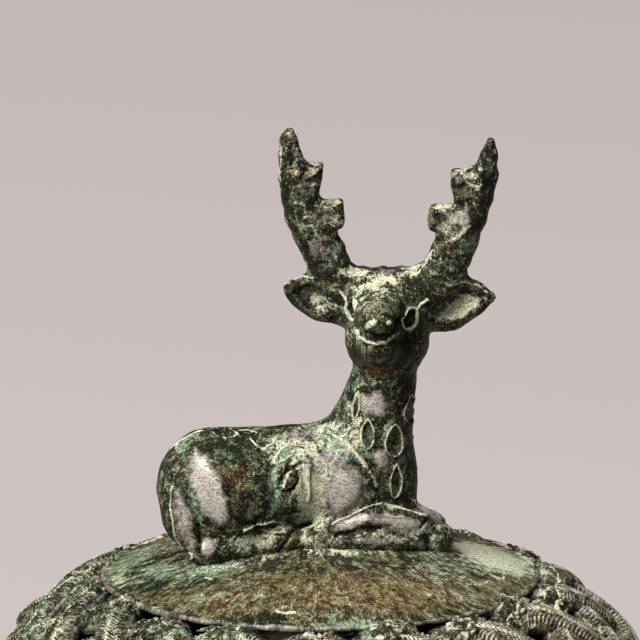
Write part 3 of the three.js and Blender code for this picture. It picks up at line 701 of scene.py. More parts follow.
for rib in range(5):
    level = 36.0 - 4.2 * rib
    front = np.interp(level, [13.6, 28.1, 45.4], [70.0, 75.4, 79.6])
    ends = [(front - 4.4, hand * 5.4, level + 1.6, 0.7) for hand in (-1, 1)]
    leg_wax.limb([ends[0], (front - 0.2, 0, level, 0.9), ends[1]], 0.8)


LEG_SINK = 0.985
FLOOR_GAP = 0.02


def off_bowl_and_floor(x, y, z):
    """Trims a leg just under the bowl's face and just over the floor."""
    inside = np.sqrt((x * x + y * y) / BELLY_RADIUS**2 + ((z - BELLY_LEVEL) / BELLY_RISE) ** 2)
    return np.maximum((LEG_SINK - inside) * BELLY_RISE, FLOOR_GAP - z)


leg_wax.keep(off_bowl_and_floor)
leg_points, leg_faces = leg_wax.surface()
leg_rise = 0.15 * lumps(leg_points, 3.0, 21) + 0.08 * lumps(leg_points, 1.4, 22)
leg_rise *= np.clip(leg_points[:, 2] / 1.5 - 0.3, 0, 1)
leg_points = leg_points + facing(leg_points, leg_faces) * leg_rise[:, None]
LEG_BRONZE = bronze("leg bronze", crust=0.75, verdigris=0.6, rust=0.45, speckle=0.55)
DULL_BRONZE = bronze("rivet bronze", crust=0.3, verdigris=0.35, rust=0.7, speckle=0.3)
LEG_ANGLES = {"front": -90, "back_right": 30, "back_left": 150}
for name, angle in LEG_ANGLES.items():
    leg = cast("leg_" + name + "_paw", turn_to(leg_points, angle), leg_faces)
    mark_hollows(leg, 20, 0.6)
    settle(leg, LEG_BRONZE, "bowl", "leg_" + name)


RIVET_HEAD_WIDTH = 1.9
RIVET_HEAD_RISE = 1.1


def rivet(name, seat, end, radius):
    """A hammered rivet with a domed head, from under its head to its end."""
    seat, end = np.array(seat, float), np.array(end, float)
    length = np.linalg.norm(end - seat)
    place = np.radians(np.arange(-90, 1, 6))
    head = np.stack(
        [RIVET_HEAD_WIDTH * radius * np.cos(place), RIVET_HEAD_RISE * radius * np.sin(place)], 1
    )
    head[0, 0] = 0
    shank = even([(radius, 0), (radius, length - 0.3), (radius - 0.3, length), (0, length)], 1.5)
    made = turned(
        name,
        np.concatenate([head, shank]),
        40,
        lambda angle, section: 0.06 * lumps(round_places(angle, section), 1.3, 23) - 0.06,
    )
    way = Vector((end - seat) / length)
    turn = Vector((0, 0, 1)).rotation_difference(way).to_matrix().to_4x4()
    made.data.transform(Matrix.Translation(Vector(seat / 1000)) @ turn)
    return made


def upright(spot, angle):
    """A place from its radius and height, turned to an angle round the bowl."""
    return turn_to(np.array([[spot[0], 0, spot[1]]]), angle)[0]


RIVET_GAP = 0.6
LEG_PIN_DEPTH = 9.0
LEG_PIN_RADIUS = 2.2
for name, angle in LEG_ANGLES.items():
    spot, out = underside(LEG_SEAT)
    ends = [upright(spot + out * reach, angle) for reach in (-BOWL_WALL - RIVET_GAP, LEG_PIN_DEPTH)]
    pin = rivet("leg_rivet_" + name + "_pin", *ends, LEG_PIN_RADIUS)
    settle(pin, DULL_BRONZE, "bowl", "leg_rivet_" + name)

# Masks
# Two cast bronze beast masks with curled horns and a loop through the snout for a ring handle. Two rivets
# from inside the bowl hold each of them on the shoulder.

MASK_LEVEL = 88.0
MASK_FACE = float(shoulder_radius(MASK_LEVEL))
LUG = np.array([MASK_FACE + 10.3, 0, MASK_LEVEL - 4])
LUG_RADIUS = 5.0
LUG_WIRE = 2.15
LUG_BORE = 2.85
MASK_PIN_RADIUS = 1.8
MASK_PIN_DEPTH = 3.2
MASK_PIN_SIDE = 9.0
MASK_PIN_LEVEL = MASK_LEVEL + 4

mask_wax = Wax((79, -19, 72), (103, 19, 106), 0.42)
mask_wax.ball((MASK_FACE, 0, MASK_LEVEL), (6.0, 14.6, 12.6), 0.8)
for hand in (-1, 1):
    horn = [(86.2, 5.2, 95.6, 2.6), (86.0, 10.5, 98.6, 2.6), (85.2, 14.4, 98.4, 2.3), (84.8, 15.8, 94.6, 1.7)]
    mask_wax.limb(to_hand(horn, hand), 0.8)
    for turn in range(5):
        x, y, z = np.array([86.4, 6.6, 96.6]) + turn * np.array([-0.25, 1.8, 0.55])
        twist = [(x + 0.8, y, z - 2.4, 0.5), (x + 2.2, y, z, 0.6), (x, y, z + 2.5, 0.5)]
        mask_wax.limb(to_hand(twist, hand), 0.4)
    brow = [(89.6, 1.6, 93.2, 1.5), (89.7, 5.0, 94.4, 1.6), (88.0, 9.4, 92.6, 1.4), (86.6, 11.6, 89.6, 1.0)]
    mask_wax.limb(to_hand(brow, hand), 0.6)
    mask_wax.ball((88.6, hand * 5.8, 90.4), (2.2, 2.8, 2.2), 0.4)
    mask_wax.scoop((90.9, hand * 5.8, 90.4), (0.9, 0.9, 0.9), 0.3)
    cheek = [(89.0, 5.6, 86.4, 1.4), (87.6, 9.6, 86.4, 1.7), (86.6, 11.6, 83.6, 1.5), (87.6, 9.4, 81.0, 1.3)]
    mask_wax.limb(to_hand(cheek, hand), 0.6)
    curl = [(87.8, 8.6, 83.4, 1.1), (88.6, 7.0, 82.6, 1.0), (88.4, 7.4, 84.4, 0.8)]
    mask_wax.limb(to_hand(curl, hand), 0.4)
    fang = [(89.0, 4.6, 80.6, 1.1), (89.2, 5.0, 78.2, 0.7), (88.8, 5.2, 76.8, 0.3)]
    mask_wax.limb(to_hand(fang, hand), 0.4)
mask_wax.limb([(89.2, 0, 97.0, 1.6), (90.4, 0, 92.5, 2.0), (91.0, 0, 90.2, 2.9)], 0.8)
mask_wax.limb([(87.6, -7.4, 79.4, 1.3), (89.6, 0, 80.6, 1.6), (87.6, 7.4, 79.4, 1.3)], 0.7)
mask_wax.scoop_limb([(LUG[0], -9, LUG[2], LUG_BORE), (LUG[0], 9, LUG[2], LUG_BORE)], 0.3)
mask_wax.hoop(LUG, LUG_RADIUS, LUG_WIRE, 0.6)


MASK_SINK = 0.5


def off_shoulder(x, y, z):
    """Trims a mask just under the shoulder's face."""
    return shoulder_radius(z) - MASK_SINK - np.sqrt(x * x + y * y)


mask_wax.keep(off_shoulder)
mask_points, mask_faces = mask_wax.surface()
mask_rise = 0.1 * lumps(mask_points, 2.4, 31) + 0.05 * lumps(mask_points, 1.1, 32)
near_lug = np.hypot(mask_points[:, 0] - LUG[0], mask_points[:, 2] - LUG[2])
mask_rise *= np.clip((near_lug - 3.6) / 1.5, 0, 1)
mask_points = mask_points + facing(mask_points, mask_faces) * mask_rise[:, None]
MASK_BRONZE = bronze("mask bronze", crust=0.8, verdigris=0.6, rust=0.35, speckle=0.5)
SIDES = {"right": 0, "left": 180}
for name, angle in SIDES.items():
    mask = cast("mask_" + name + "_face", turn_to(mask_points, angle), mask_faces)
    mark_hollows(mask, 25, 0.6)
    settle(mask, MASK_BRONZE, "bowl", "mask_" + name)
    level = MASK_PIN_LEVEL
    spot = np.array([float(shoulder_radius(level)), level])
    out = np.array([1, -float(shoulder_radius(level + 0.5) - shoulder_radius(level - 0.5))])
    out /= np.linalg.norm(out)
    for hand, letter in ((-1, "a"), (1, "b")):
        place = angle + hand * math.degrees(math.asin(MASK_PIN_SIDE / spot[0]))
        reaches = (-BOWL_WALL * out[0] - RIVET_GAP, MASK_PIN_DEPTH)
        ends = [upright(spot + out * reach, place) for reach in reaches]
        pin_name = "mask_rivet_" + name + "_" + letter
        pin = rivet(pin_name + "_pin", *ends, MASK_PIN_RADIUS)
        settle(pin, DULL_BRONZE, "bowl", pin_name)

# Rings
# Two loose ring handles of round cast bronze bar, bent through the masks' loops and closed. The wear of
# hands and of the loops has smoothed them.

RING_RADIUS = 17.0
RING_WIRE = 2.3
RING_DROP = 0.2
RING_BRONZE = bronze("ring bronze", crust=0.35, verdigris=0.45, rust=0.4, speckle=0.35)


def tube_faces(steps, sides):
    """The faces of a closed tube of rings, each with as many points as sides."""
    i, j = np.arange(steps)[:, None], np.arange(sides)[None, :]
    a, b, next_j = i * sides, (i + 1) % steps * sides, (j + 1) % sides
    return np.stack([a + j, a + next_j, b + next_j, b + j], -1).reshape(-1, 4)


def hoop(name, middle, radius, wire, steps, sides):
    """A ring of round bar in the plane across X."""
    around = np.linspace(0, 2 * np.pi, steps, endpoint=False)[:, None]
    section = np.linspace(0, 2 * np.pi, sides, endpoint=False)[None, :]
    plain = np.stack(
        [
            middle[0] + wire * np.sin(section) + 0 * around,
            middle[1] + (radius + wire * np.cos(section)) * np.cos(around),
            middle[2] + (radius + wire * np.cos(section)) * np.sin(around),
        ],
        -1,
    )
    spokes = np.stack([0 * around, np.cos(around), np.sin(around)], -1)
    centre = radius * spokes + np.array(middle)
    worn = 1 - 0.04 * (1 + lumps(plain, 2.6, 41)) - 0.02 * (1 + lumps(plain, 1.2, 42))
    points = centre + (plain - centre) * worn[..., None]
    return close_poles(cast(name, points.reshape(-1, 3), tube_faces(steps, sides)))


for name, angle in SIDES.items():
    hand = 1 if angle == 0 else -1
    middle = (hand * LUG[0], 0, LUG[2] - RING_DROP - RING_RADIUS)
    ring = hoop("ring_" + name + "_handle", middle, RING_RADIUS, RING_WIRE, 160, 28)
    mark_hollows(ring, 15, 0.2)
    settle(ring, RING_BRONZE, name + "_ring", "ring_" + name)

# Ash liner
# A loose pan of beaten sheet that keeps the ash off the bowl, with a turned-out lip to lift it by. Soot
# and ash have dulled it.

LINER_BASE = 45.13
LINER_TOP = 97.13
LINER_SHEET = 1.6
LINER_FOOT = 40.0
LINER_FLARE = 20.0
share = np.linspace(0, 1, 44)
wall_rise = LINER_BASE + (LINER_TOP - LINER_BASE) * share
wall_out = np.stack([LINER_FOOT + LINER_FLARE * np.sqrt(share), wall_rise], 1)[:-1]
wall_in = wall_out[1:] - np.array([LINER_SHEET, 0])
LINER_SECTION = np.concatenate(
    [
        even([(0, LINER_BASE), (39.2, LINER_BASE)], 3),
        [(39.8, LINER_BASE + 0.3)],
        wall_out[1:],
        [(60, LINER_TOP - LINER_SHEET), (62.6, LINER_TOP - LINER_SHEET), (63, LINER_TOP - 0.8)],
        [(62.6, LINER_TOP - 0.05), (60.5, LINER_TOP), (58.8, LINER_TOP - 0.4)],
        wall_in[::-1],
        even([(38.4, LINER_BASE + LINER_SHEET), (0, LINER_BASE + LINER_SHEET)], 3),
    ]
)


def beaten(angle, section):
    """The hammer's flats on the sheet."""
    places = round_places(angle, section)
    inner = np.arange(len(section)) > len(section) / 2
    dents = 0.16 * lumps(places, 7.0, 51) + 0.05 * lumps(places, 2.5, 52)
    return np.where(inner, -dents, dents) - 0.05


def sooted_sheet():
    """Brown beaten sheet, sooted, with ash dust in it."""
    material = bpy.data.materials.new("liner sheet")
    material.use_nodes = True
    tree = material.node_tree
    shader = tree.nodes["Principled BSDF"]
    place = node(tree, "TexCoord").outputs["Object"]
    soot = between(tree, grain(tree, place, 14, 4, 0.6), 0.4, 0.6)
    ash = between(tree, grain(tree, place, 2.2, 4, 0.7), 0.52, 0.68)
    sheet = mix_colour(tree, soot, (0.16, 0.075, 0.038, 1), (0.035, 0.026, 0.021, 1))
    sheet = mix_colour(tree, times(tree, ash, 0.55), sheet, (0.27, 0.25, 0.22, 1))
    tree.links.new(sheet, shader.inputs["Base Color"])
    tree.links.new(weigh(tree, ash, 0.35, 0.45), shader.inputs["Roughness"])
    tree.links.new(weigh(tree, ash, -0.5, 0.6), shader.inputs["Metallic"])
    bump = node(tree, "Bump", {"Distance": 0.0003, "Height": grain(tree, place, 1.5, 3, 0.6)})
    tree.links.new(bump.outputs[0], shader.inputs["Normal"])
    return material


liner = turned("ash_liner_pan", LINER_SECTION, 220, beaten)
settle(liner, sooted_sheet(), "liner", "ash_liner")

# Lid
# One casting: a plain round crown, three scaled dragon bodies plaited below it with a head at each upper
# turn, and a lower ring. A turned collar is soldered inside its foot and drops into the bowl's neck.

LID_BASE = 124.3
LID_RADIUS = 84.0
LID_WALL = 3.2
DOME_LEVEL = 130.3
DOME_HEIGHT = 42.5
CROWN_TOP = DOME_LEVEL + DOME_HEIGHT
CROWN_RADIUS = 55.0
CROWN_EDGE = math.asin(CROWN_RADIUS / LID_RADIUS)
CROWN_LINE = 0.8
BAND_FOOT = 12.0
PIERCED_EDGE = math.acos(BAND_FOOT / DOME_HEIGHT)


def dome_arc(start, stop, inset, step):
    """Points of the dome's section between two angles off its top, moved in by an inset."""
    count = max(2, int(abs(stop - start) * LID_RADIUS / step))
    angle = np.linspace(start, stop, count)
    return np.stack(
        [(LID_RADIUS - inset) * np.sin(angle), DOME_LEVEL + (DOME_HEIGHT - inset) * np.cos(angle)], 1
    )


crown_out = dome_arc(CROWN_EDGE, 0, 0, 0.7)
crown_lip = dome_arc(CROWN_EDGE - 0.01, CROWN_EDGE, 0.45, 0.5)
CROWN_SECTION = np.concatenate(
    [dome_arc(0, CROWN_EDGE - 0.05, LID_WALL, 4.0), [crown_lip[0]], crown_out]
)
CROWN_SECTION[0, 0] = CROWN_SECTION[-1, 0] = 0


def crown_face(angle, section):
    """The crown's worn face, with a raised line at its edge that is broken in places."""
    places = round_places(angle, section)
    outside = np.arange(len(section)) >= len(section) - len(crown_out)
    from_edge = CROWN_RADIUS - section[:, 0]
    ragged = 0.9 * lumps(places, 5.0, 61) + 0.4 * lumps(places, 2.0, 62)
    line = 0.7 * np.exp(-(((from_edge - CROWN_LINE - 0.35 * ragged) / 0.6) ** 2))
    uneven = 0.2 * lumps(places, 9.0, 63) + 0.12 * lumps(places, 3.2, 64) + 0.06 * lumps(places, 1.3, 65)
    wavy = 0.9 * lumps(places, 9.0, 67) + 0.5 * lumps(places, 3.5, 68)
    at_lip = np.arange(len(section)) == len(section) - len(crown_out) - 1
    return (line + uneven) * outside + wavy * at_lip


# How the lid is looked at: the tilt, the distance, the pixels in a millimetre, and the row of the picture
# that shows the crown's top.
VIEW_TILT = math.radians(12.5)
VIEW_DISTANCE = 2000.0
PIXELS_PER_MM = 4.0
PICTURE_SIZE = 640
PICTURE_MIDDLE = PICTURE_SIZE / 2
CROWN_TOP_ROW = 535.0
VIEW_UP = np.array([0, math.sin(VIEW_TILT), math.cos(VIEW_TILT)])
VIEW_IN = np.array([0, math.cos(VIEW_TILT), -math.sin(VIEW_TILT)])
VIEW_TARGET = np.array([0, 0, CROWN_TOP]) + VIEW_UP * (CROWN_TOP_ROW - PICTURE_MIDDLE) / PIXELS_PER_MM


class Side:
    """A surface seen from one side: where each point shows, in the picture's pixels, how plainly, and what
    is laid on it there. The far side, turned by 180, shows what is laid on it mirrored."""

    CELL = 3
    CELLS = 400
    DEPTH_SEEN = 7.0

    def __init__(self, points, out, turn=0):
        back = np.array([math.cos(math.radians(turn)), math.sin(math.radians(turn))])
        seen, faces_to = points - VIEW_TARGET, out.copy()
        for rows in (seen, faces_to):
            x, y = rows[:, 0].copy(), rows[:, 1].copy()
            rows[:, 0], rows[:, 1] = x * back[0] + y * back[1], y * back[0] - x * back[1]
        depth = seen @ VIEW_IN
        size = PIXELS_PER_MM * VIEW_DISTANCE / (VIEW_DISTANCE + depth)
        self.x = PICTURE_MIDDLE + seen[:, 0] * size * (-1 if turn else 1)
        self.y = PICTURE_MIDDLE - (seen @ VIEW_UP) * size
        last = self.CELLS * self.CELL - 1
        column, row = ((np.clip(at, 0, last) // self.CELL).astype(int) for at in (self.x, self.y))
        cell = row * self.CELLS + column
        nearest = np.full(self.CELLS * self.CELLS, 1e9)
        np.minimum.at(nearest, cell, depth)
        ahead = np.clip((nearest[cell] + self.DEPTH_SEEN - depth) / 2.0, 0, 1)
        self.plain = np.clip((-(faces_to @ VIEW_IN) + 0.05) / 0.3, 0, 1) * ahead
        self.x += 1.0 * lumps(points, 2.6, 31) + 0.2 * lumps(points, 1.2, 32)
        self.y += 1.0 * lumps(points, 2.6, 33) + 0.2 * lumps(points, 1.2, 34)
        self.patchy = np.clip(0.95 + 0.5 * lumps(points, 2.6, 35), 0.45, 1.1)
        self.rise = np.zeros(len(points))
        self.near = np.zeros(len(points))
        self.marks = {mark: np.zeros(len(points)) for mark in ("rim", "worn", "green", "rust")}

    def lay(self, share, height, pale):
        """Raises a part of the surface, and sets how pale its crust is: below 0 keeps it bare and dark."""
        share = share * self.plain
        self.rise += height * share
        self.marks["rim"] += (pale - self.marks["rim"]) * share**2

    def strip(self, spots, width, height, pale):
        """Lays a strip along a line through spots, or cuts a groove."""
        apart = np.full(len(self.x), 1e9)
        for (ax, ay), (bx, by) in zip(spots[:-1], spots[1:]):
            dx, dy = bx - ax, by - ay
            t = np.clip(((self.x - ax) * dx + (self.y - ay) * dy) / (dx * dx + dy * dy), 0, 1)
            apart = np.minimum(apart, (self.x - ax - t * dx) ** 2 + (self.y - ay - t * dy) ** 2)
        self.lay(np.exp(-apart / (width * width)), height, pale * self.patchy if pale > 0 else pale)
        if width < 4:
            self.near = np.maximum(self.near, np.exp(-apart / (2.4 * width) ** 2) * self.plain)

    def along_across(self, centre, tilt):
        """Places from a centre, along a tilted line and across it."""
        turn = math.radians(tilt)
        dx, dy = self.x - centre[0], centre[1] - self.y
        along = dx * math.cos(turn) + dy * math.sin(turn)
        return along, dy * math.cos(turn) - dx * math.sin(turn)

    def within(self, centre, size, tilt):
        """Place in an oval: 0 at its middle, 1 on its edge."""
        along, across = self.along_across(centre, tilt)
        return np.sqrt((along / size[0]) ** 2 + (across / size[1]) ** 2)

    def leaf(self, centre, size, tilt, height=0.5, sunk=0.35, pale=1.0, field=-0.5):
        """Lays a pointed leaf: a thin raised edge round a dark field that is slightly sunk."""
        along, across = self.along_across(centre, tilt)
        along = along / size[0]
        round_end = np.clip(1 - along**2, 0, 1) ** np.where(along < 0, 0.6, 1.0) * (1 - 0.25 * along)
        past_end = np.maximum(along**2 - 1, 0)
        edge = (np.abs(across) - size[1] * (round_end - np.minimum(past_end, 3.0))) * 0.85
        self.lay(np.clip(-edge / 2.0, 0, 1), -sunk, field)
        self.lay(np.exp(-((edge / 1.3) ** 2)), height, pale * self.patchy)
        self.near = np.maximum(self.near, np.exp(-((edge / 3.2) ** 2)) * self.plain)

    def dot(self, centre, size, tilt, height, pale):
        """Lays a round lump or presses a pit."""
        place = self.within(centre, size, tilt)
        self.lay(np.clip(1.15 - place, 0, 1) ** 0.6, height, pale)
        self.near = np.maximum(self.near, np.clip(2.2 - place, 0, 1) * self.plain)

    def stain_or_sheen(self, mark, centre, size, tilt, amount):
        """Marks a patch of crust, rubbed metal, verdigris or rust; some patches of pale crust and rubbed
        metal are painted sheen.
        """
        patch = np.clip(1.5 - self.within(centre, size, tilt), 0, 1) * self.plain
        self.marks[mark] = np.maximum(self.marks[mark], amount * patch)

    def hand_over(self, made):
        """Writes the marks on the piece that was made from the surface."""
        for mark, values in self.marks.items():
            write_mark(made, mark, values)


LID_BRONZE = bronze("lid bronze", crust=0.9, verdigris=0.75, rust=0.4, speckle=0.55, pits=0.4)


STREAK_REACH = 0.04


def drawn_out(tree, place):
    """Places drawn out from the axis, so that stains run down the crown in streaks."""
    flat = node(tree, "VectorMath", {0: place, 1: (1, 1, 0)}, operation="MULTIPLY").outputs[0]
    way = node(tree, "VectorMath", {0: flat}, operation="NORMALIZE").outputs[0]
    reach = node(tree, "VectorMath", {0: flat}, operation="LENGTH").outputs["Value"]
    eased = math_of(tree, "POWER", math_of(tree, "DIVIDE", reach, STREAK_REACH), 0.6)
    reach = times(tree, eased, STREAK_REACH)
    return node(tree, "VectorMath", {0: way, "Scale": reach}, operation="SCALE").outputs[0]


CROWN_BRONZE = bronze(
    "crown bronze", crust=0.9, verdigris=0.4, rust=0.5, speckle=0.5, pits=0.6, scratches=0.8,
    place_of=drawn_out,
)
crown = turned("lid_crown", CROWN_SECTION, 640, crown_face)
mark_hollows(crown, 25, 0.5)
CROWN_STAINS_AND_SHEEN = {
    "green": [
        ((115, 562), (48, 16), 20, 0.55),
        ((175, 572), (50, 12), 0, 0.55),
        ((215, 566), (26, 9), 10, 0.9),
        ((250, 600), (40, 8), 0, 0.35),
        ((440, 566), (40, 9), 0, 0.25),
        ((500, 566), (40, 16), -20, 0.25),
        ((360, 626), (40, 5), 0, 0.8),
    ],
    "rim": [
        ((130, 556), (45, 10), 20, 0.2),
        ((462, 552), (30, 8), -15, 0.3),
        ((225, 566), (30, 6), 10, 0.35),
        ((340, 552), (60, 5), 0, 0.3),
        ((490, 566), (44, 12), -20, 0.28),
        ((120, 575), (36, 10), 25, 0.16),
        # Full pale crust at the crown's back right is a painted sheen of the lamp on it.
        ((492, 554), (42, 13), -20, 1.0),
        ((445, 572), (60, 12), 0, 0.2),
        ((160, 568), (70, 16), 10, 0.18),
    ],
    "rust": [
        ((370, 594), (130, 18), 0, 0.9),
        ((230, 600), (60, 12), 0, 0.7),
        ((480, 590), (50, 10), 10, 0.7),
    ],
}
CROWN_SCRATCHES = [
    ([(455, 588), (478, 584), (505, 577)], 1.1, 0.25, 0.6),
    ([(424, 592), (436, 598), (446, 601)], 1.2, 0.2, 0.5),
    ([(277, 611), (284, 613), (294, 612)], 1.8, 0.4, 1.0),
    ([(203, 576), (214, 580), (226, 582)], 1.1, 0.2, 0.6),
    ([(460, 558), (466, 553), (468, 549)], 1.4, 0.3, 0.7),
    ([(262, 588), (300, 586)], 1.4, -0.2, -0.4),
]
CROWN_EDGE_LEVEL = 158.0
crown_places, crown_normals = places_of(crown)
crown_side = Side(crown_places, crown_normals)
for mark, patches in CROWN_STAINS_AND_SHEEN.items():
    for patch in patches:
        crown_side.stain_or_sheen(mark, *patch)
for scratch in CROWN_SCRATCHES:
    crown_side.strip(*scratch)
# Pale crust along the raised line at the crown's edge paints in that line's highlight.
off_line = np.hypot(*crown_places[:, :2].T) - (CROWN_RADIUS - CROWN_LINE)
at_edge = np.exp(-((off_line / 0.7) ** 2)) * (crown_places[:, 2] > CROWN_EDGE_LEVEL)
painted_edge_highlight = np.clip(0.35 + 0.9 * lumps(crown_places, 7.0, 69), 0.05, 0.85)
crown_side.marks["rim"] = np.maximum(crown_side.marks["rim"], painted_edge_highlight * at_edge)
crown_side.hand_over(crown)
settle(crown, CROWN_BRONZE, "lid", "lid")


DRAGONS = 3
DRAGON_TURNS = 6
DRAGON_START = 7.0
DRAGON_DEPTH = 2.6
DRAGON_WEAVE = 1.0
DRAGON_HALF_WIDTH = 4.3


def dragon_line(number, steps):
    """The middle line of one dragon's body, with its ways up and across, its half width and its run."""
    share = np.arange(steps) / steps
    phase = 2 * np.pi * (DRAGON_TURNS * share + number / DRAGONS)
    band = math.hypot(
        LID_RADIUS * (math.sin(PIERCED_EDGE) - math.sin(CROWN_EDGE)),
        DOME_HEIGHT * math.cos(CROWN_EDGE) - BAND_FOOT,
    )
    swing = (PIERCED_EDGE - CROWN_EDGE) / 2 * (1 - 2 * DRAGON_DEPTH / band)
    angle = (CROWN_EDGE + PIERCED_EDGE) / 2 - swing * np.cos(phase)
    turn = math.radians(DRAGON_START) + 2 * np.pi * share
    out = np.stack(
        [
            np.sin(angle) / LID_RADIUS * np.cos(turn),
            np.sin(angle) / LID_RADIUS * np.sin(turn),
            np.cos(angle) / DOME_HEIGHT,
        ],
        1,
    )
    out /= np.linalg.norm(out, axis=1, keepdims=True)
    spot = np.stack(
        [
            LID_RADIUS * np.sin(angle) * np.cos(turn),
            LID_RADIUS * np.sin(angle) * np.sin(turn),
            DOME_LEVEL + DOME_HEIGHT * np.cos(angle),
        ],
        1,
    )
    under_head = 1.1 * np.clip((np.cos(phase) - 0.5) * 2, 0, 1) ** 2
    spot -= out * (DRAGON_DEPTH + under_head - DRAGON_WEAVE * np.sin(2 * phase))[:, None]
    along = np.roll(spot, -1, 0) - np.roll(spot, 1, 0)
    length = np.linalg.norm(along, axis=1) / 2
    along /= np.linalg.norm(along, axis=1, keepdims=True)
    up = out - along * (out * along).sum(1, keepdims=True)
    up /= np.linalg.norm(up, axis=1, keepdims=True)
    return spot, up, np.cross(along, up), DRAGON_HALF_WIDTH + 0.6 * np.cos(phase), np.cumsum(length)


# Toward the lid's right the dragons and heads are painted paler, with glints: painted light.
RIGHT_END = 80.0


def rightwards(x):
    """How far to the lid's right a place lies, from -1 to 1."""
    return np.clip(x / RIGHT_END, -1, 1)


SCALE_PITCH = 1.2


def dragon(number):
    """One dragon's body: a flattened bar with slanting scale lines on its back and a cord along each side."""
    steps, sides = 3300, 28
    spot, up, across, width, run = dragon_line(number, steps)
    section = np.linspace(0, 2 * np.pi, sides, endpoint=False)[None, :]
    section = section - 0.6 * np.sin(section)
    wide, run = width[:, None], run[:, None]
    reach = wide * section
    reach = np.where(section > np.pi, wide * (section - 2 * np.pi), reach)
    laid_flat = np.stack([run + 0 * reach, reach, 0 * reach + run], -1)
    slanted = run - 1.1 * np.abs(reach) + 0.4 * lumps(laid_flat, 4.0, 74)
    scales = (0.5 + 0.5 * np.cos(2 * np.pi * slanted / SCALE_PITCH)) ** 0.8
    back = np.clip((1.05 - np.abs(reach / wide)) / 0.15, 0, 1)
    cord = np.exp(-(((np.abs(reach / wide) - 1.2) / 0.15) ** 2))
    spine = np.exp(-((reach / 0.6) ** 2))
    beside = np.exp(-(((np.abs(reach / wide) - 0.95) / 0.1) ** 2))
    rise = back * (0.55 * scales * (1 - spine) - 0.35 * beside) + 0.5 * cord + 0.5 * spine
    tall = 0.64 * wide + rise
    broad = wide + rise
    points = (
        spot[:, None, :]
        + up[:, None, :] * (tall * np.cos(section))[..., None]
        + across[:, None, :] * (broad * np.sin(section))[..., None]
    )
    points = points + up[:, None, :] * (0.12 * lumps(points, 3.0, 66 + number))[..., None]
    made = cast("lid_dragon_%d" % (number + 1), points.reshape(-1, 3), tube_faces(steps, sides))
    broken = np.clip(0.6 + 0.7 * lumps(points, 3.4, 72), 0.1, 1)
    # Pale crust on scale tops, cords and spine, and bare dark furrows between scales, partly paint in
    # highlights on the raised scales and shade between them.
    pale = 0.75 * cord + 0.75 * spine + 1.0 * back * scales - 0.8 * back * (1 - scales) - 0.1
    # Paler crust toward the right is painted light; the rust rising toward the right is real browning.
    right_light_and_rust = rightwards(points[..., 0])
    write_mark(made, "rim", (pale * broken + 0.08 + 0.14 * right_light_and_rust).ravel())
    write_mark(made, "rust", (np.clip(0.3 + 0.5 * right_light_and_rust, 0, 0.8) * broken).ravel())
    # Glints of pale metal on the scale tops, more of them toward the right, are painted highlights.
    painted_glints = np.clip(1.3 * lumps(points, 2.0, 73) + 0.9 * right_light_and_rust, 0, 1.0)
    write_mark(made, "worn", (painted_glints * back * scales).ravel())
    return made


for number in range(DRAGONS):
    body = dragon(number)
    mark_hollows(body, 12, 0.4)
    settle(body, LID_BRONZE, "lid", "lid")

# A dragon's head, modelled once with its snout to +X: brows, ringed eyes, swept horns and long whiskers.
EYE_TURNS = np.radians(np.arange(0, 361, 45))
head_wax = Wax((-15, -9, -4.5), (12, 9, 6), 0.48)
head_wax.limb([(-12, 0, -2.4, 3.2), (-6, 0, -0.6, 3.6), (0, 0, 0.2, 3.9), (5, 0, 0.0, 3.1)], 0.8, knit=3)
head_wax.ball((7.4, 0, 0.3), (2.7, 3.3, 2.5), 1.0)
lip = [(3.4, -2.6, -1.0, 1.0), (8.6, 0, -1.4, 1.2), (3.4, 2.6, -1.0, 1.0)]
head_wax.limb(lip, 0.5)
head_lines = []
for hand in (-1, 1):
    brow = [(5.4, 0.9, 3.2, 0.55), (2.4, 1.6, 4.1, 0.6), (-0.2, 2.6, 4.2, 0.55), (-1.6, 4.2, 3.2, 0.4)]
    ring = [
        (2.2 + 1.7 * math.cos(turn), 3.2 + 0.5 * math.sin(turn), 2.4 + 1.4 * math.sin(turn), 0.45)
        for turn in EYE_TURNS
    ]
    head_wax.ball((2.2, hand * 3.0, 2.3), (1.5, 1.2, 1.3), 0.3)
    head_wax.scoop((2.3, hand * 4.2, 2.7), (0.6, 0.6, 0.6), 0.2)
    head_wax.ball((8.4, hand * 1.5, 2.2), (1.2, 1.1, 1.0), 0.4)
    horn = [(-1.0, 2.0, 3.2, 0.9), (-5.0, 2.9, 3.7, 0.75), (-9.0, 3.9, 2.8, 0.55), (-11.4, 5.0, 1.8, 0.35)]
    whisker = [(7.6, 2.9, 0.9, 0.6), (6.2, 5.2, 1.4, 0.55), (2.4, 6.3, 1.9, 0.5), (-2.4, 5.6, 2.0, 0.5)]
    whisker += [(-6.4, 6.6, 1.4, 0.4)]
    ear = [(-1.8, 3.4, 1.6, 1.2), (-4.6, 5.0, 1.6, 1.0), (-6.6, 5.4, 1.2, 0.4)]
    head_wax.limb(to_hand(ear, hand), 0.4)
    for line in (brow, ring, horn, whisker):
        head_lines.append(to_hand(line, hand))
        head_wax.limb(head_lines[-1], 0.3, knit=0.6)
for rib in range(5):
    x = -4.5 - 1.9 * rib
    back = np.interp(x, [-12, -6, 0], [0.8, 3.0, 4.1])
    head_wax.limb([(x, -3.0, back - 2.2, 0.4), (x + 1.0, 0, back, 0.55), (x, 3.0, back - 2.2, 0.4)], 0.4)
HEAD_SIZE = 0.84
HEAD_STEPS = 1800
head_points, head_faces = head_wax.surface()


def on_line(points, stations):
    """Which points lie on the face of a limb: 1 on it, 0 away from it."""
    on = np.zeros(len(points))
    rows = np.array(stations)
    for a, b in zip(rows[:-1], rows[1:]):
        way = b[:3] - a[:3]
        t = np.clip((points - a[:3]) @ way / (way @ way), 0, 1)
        apart = np.linalg.norm(points - a[:3] - t[:, None] * way, axis=1) - a[3] - t * (b[3] - a[3])
        on = np.maximum(on, np.clip(1.3 - apart / 0.3, 0, 1))
    return on


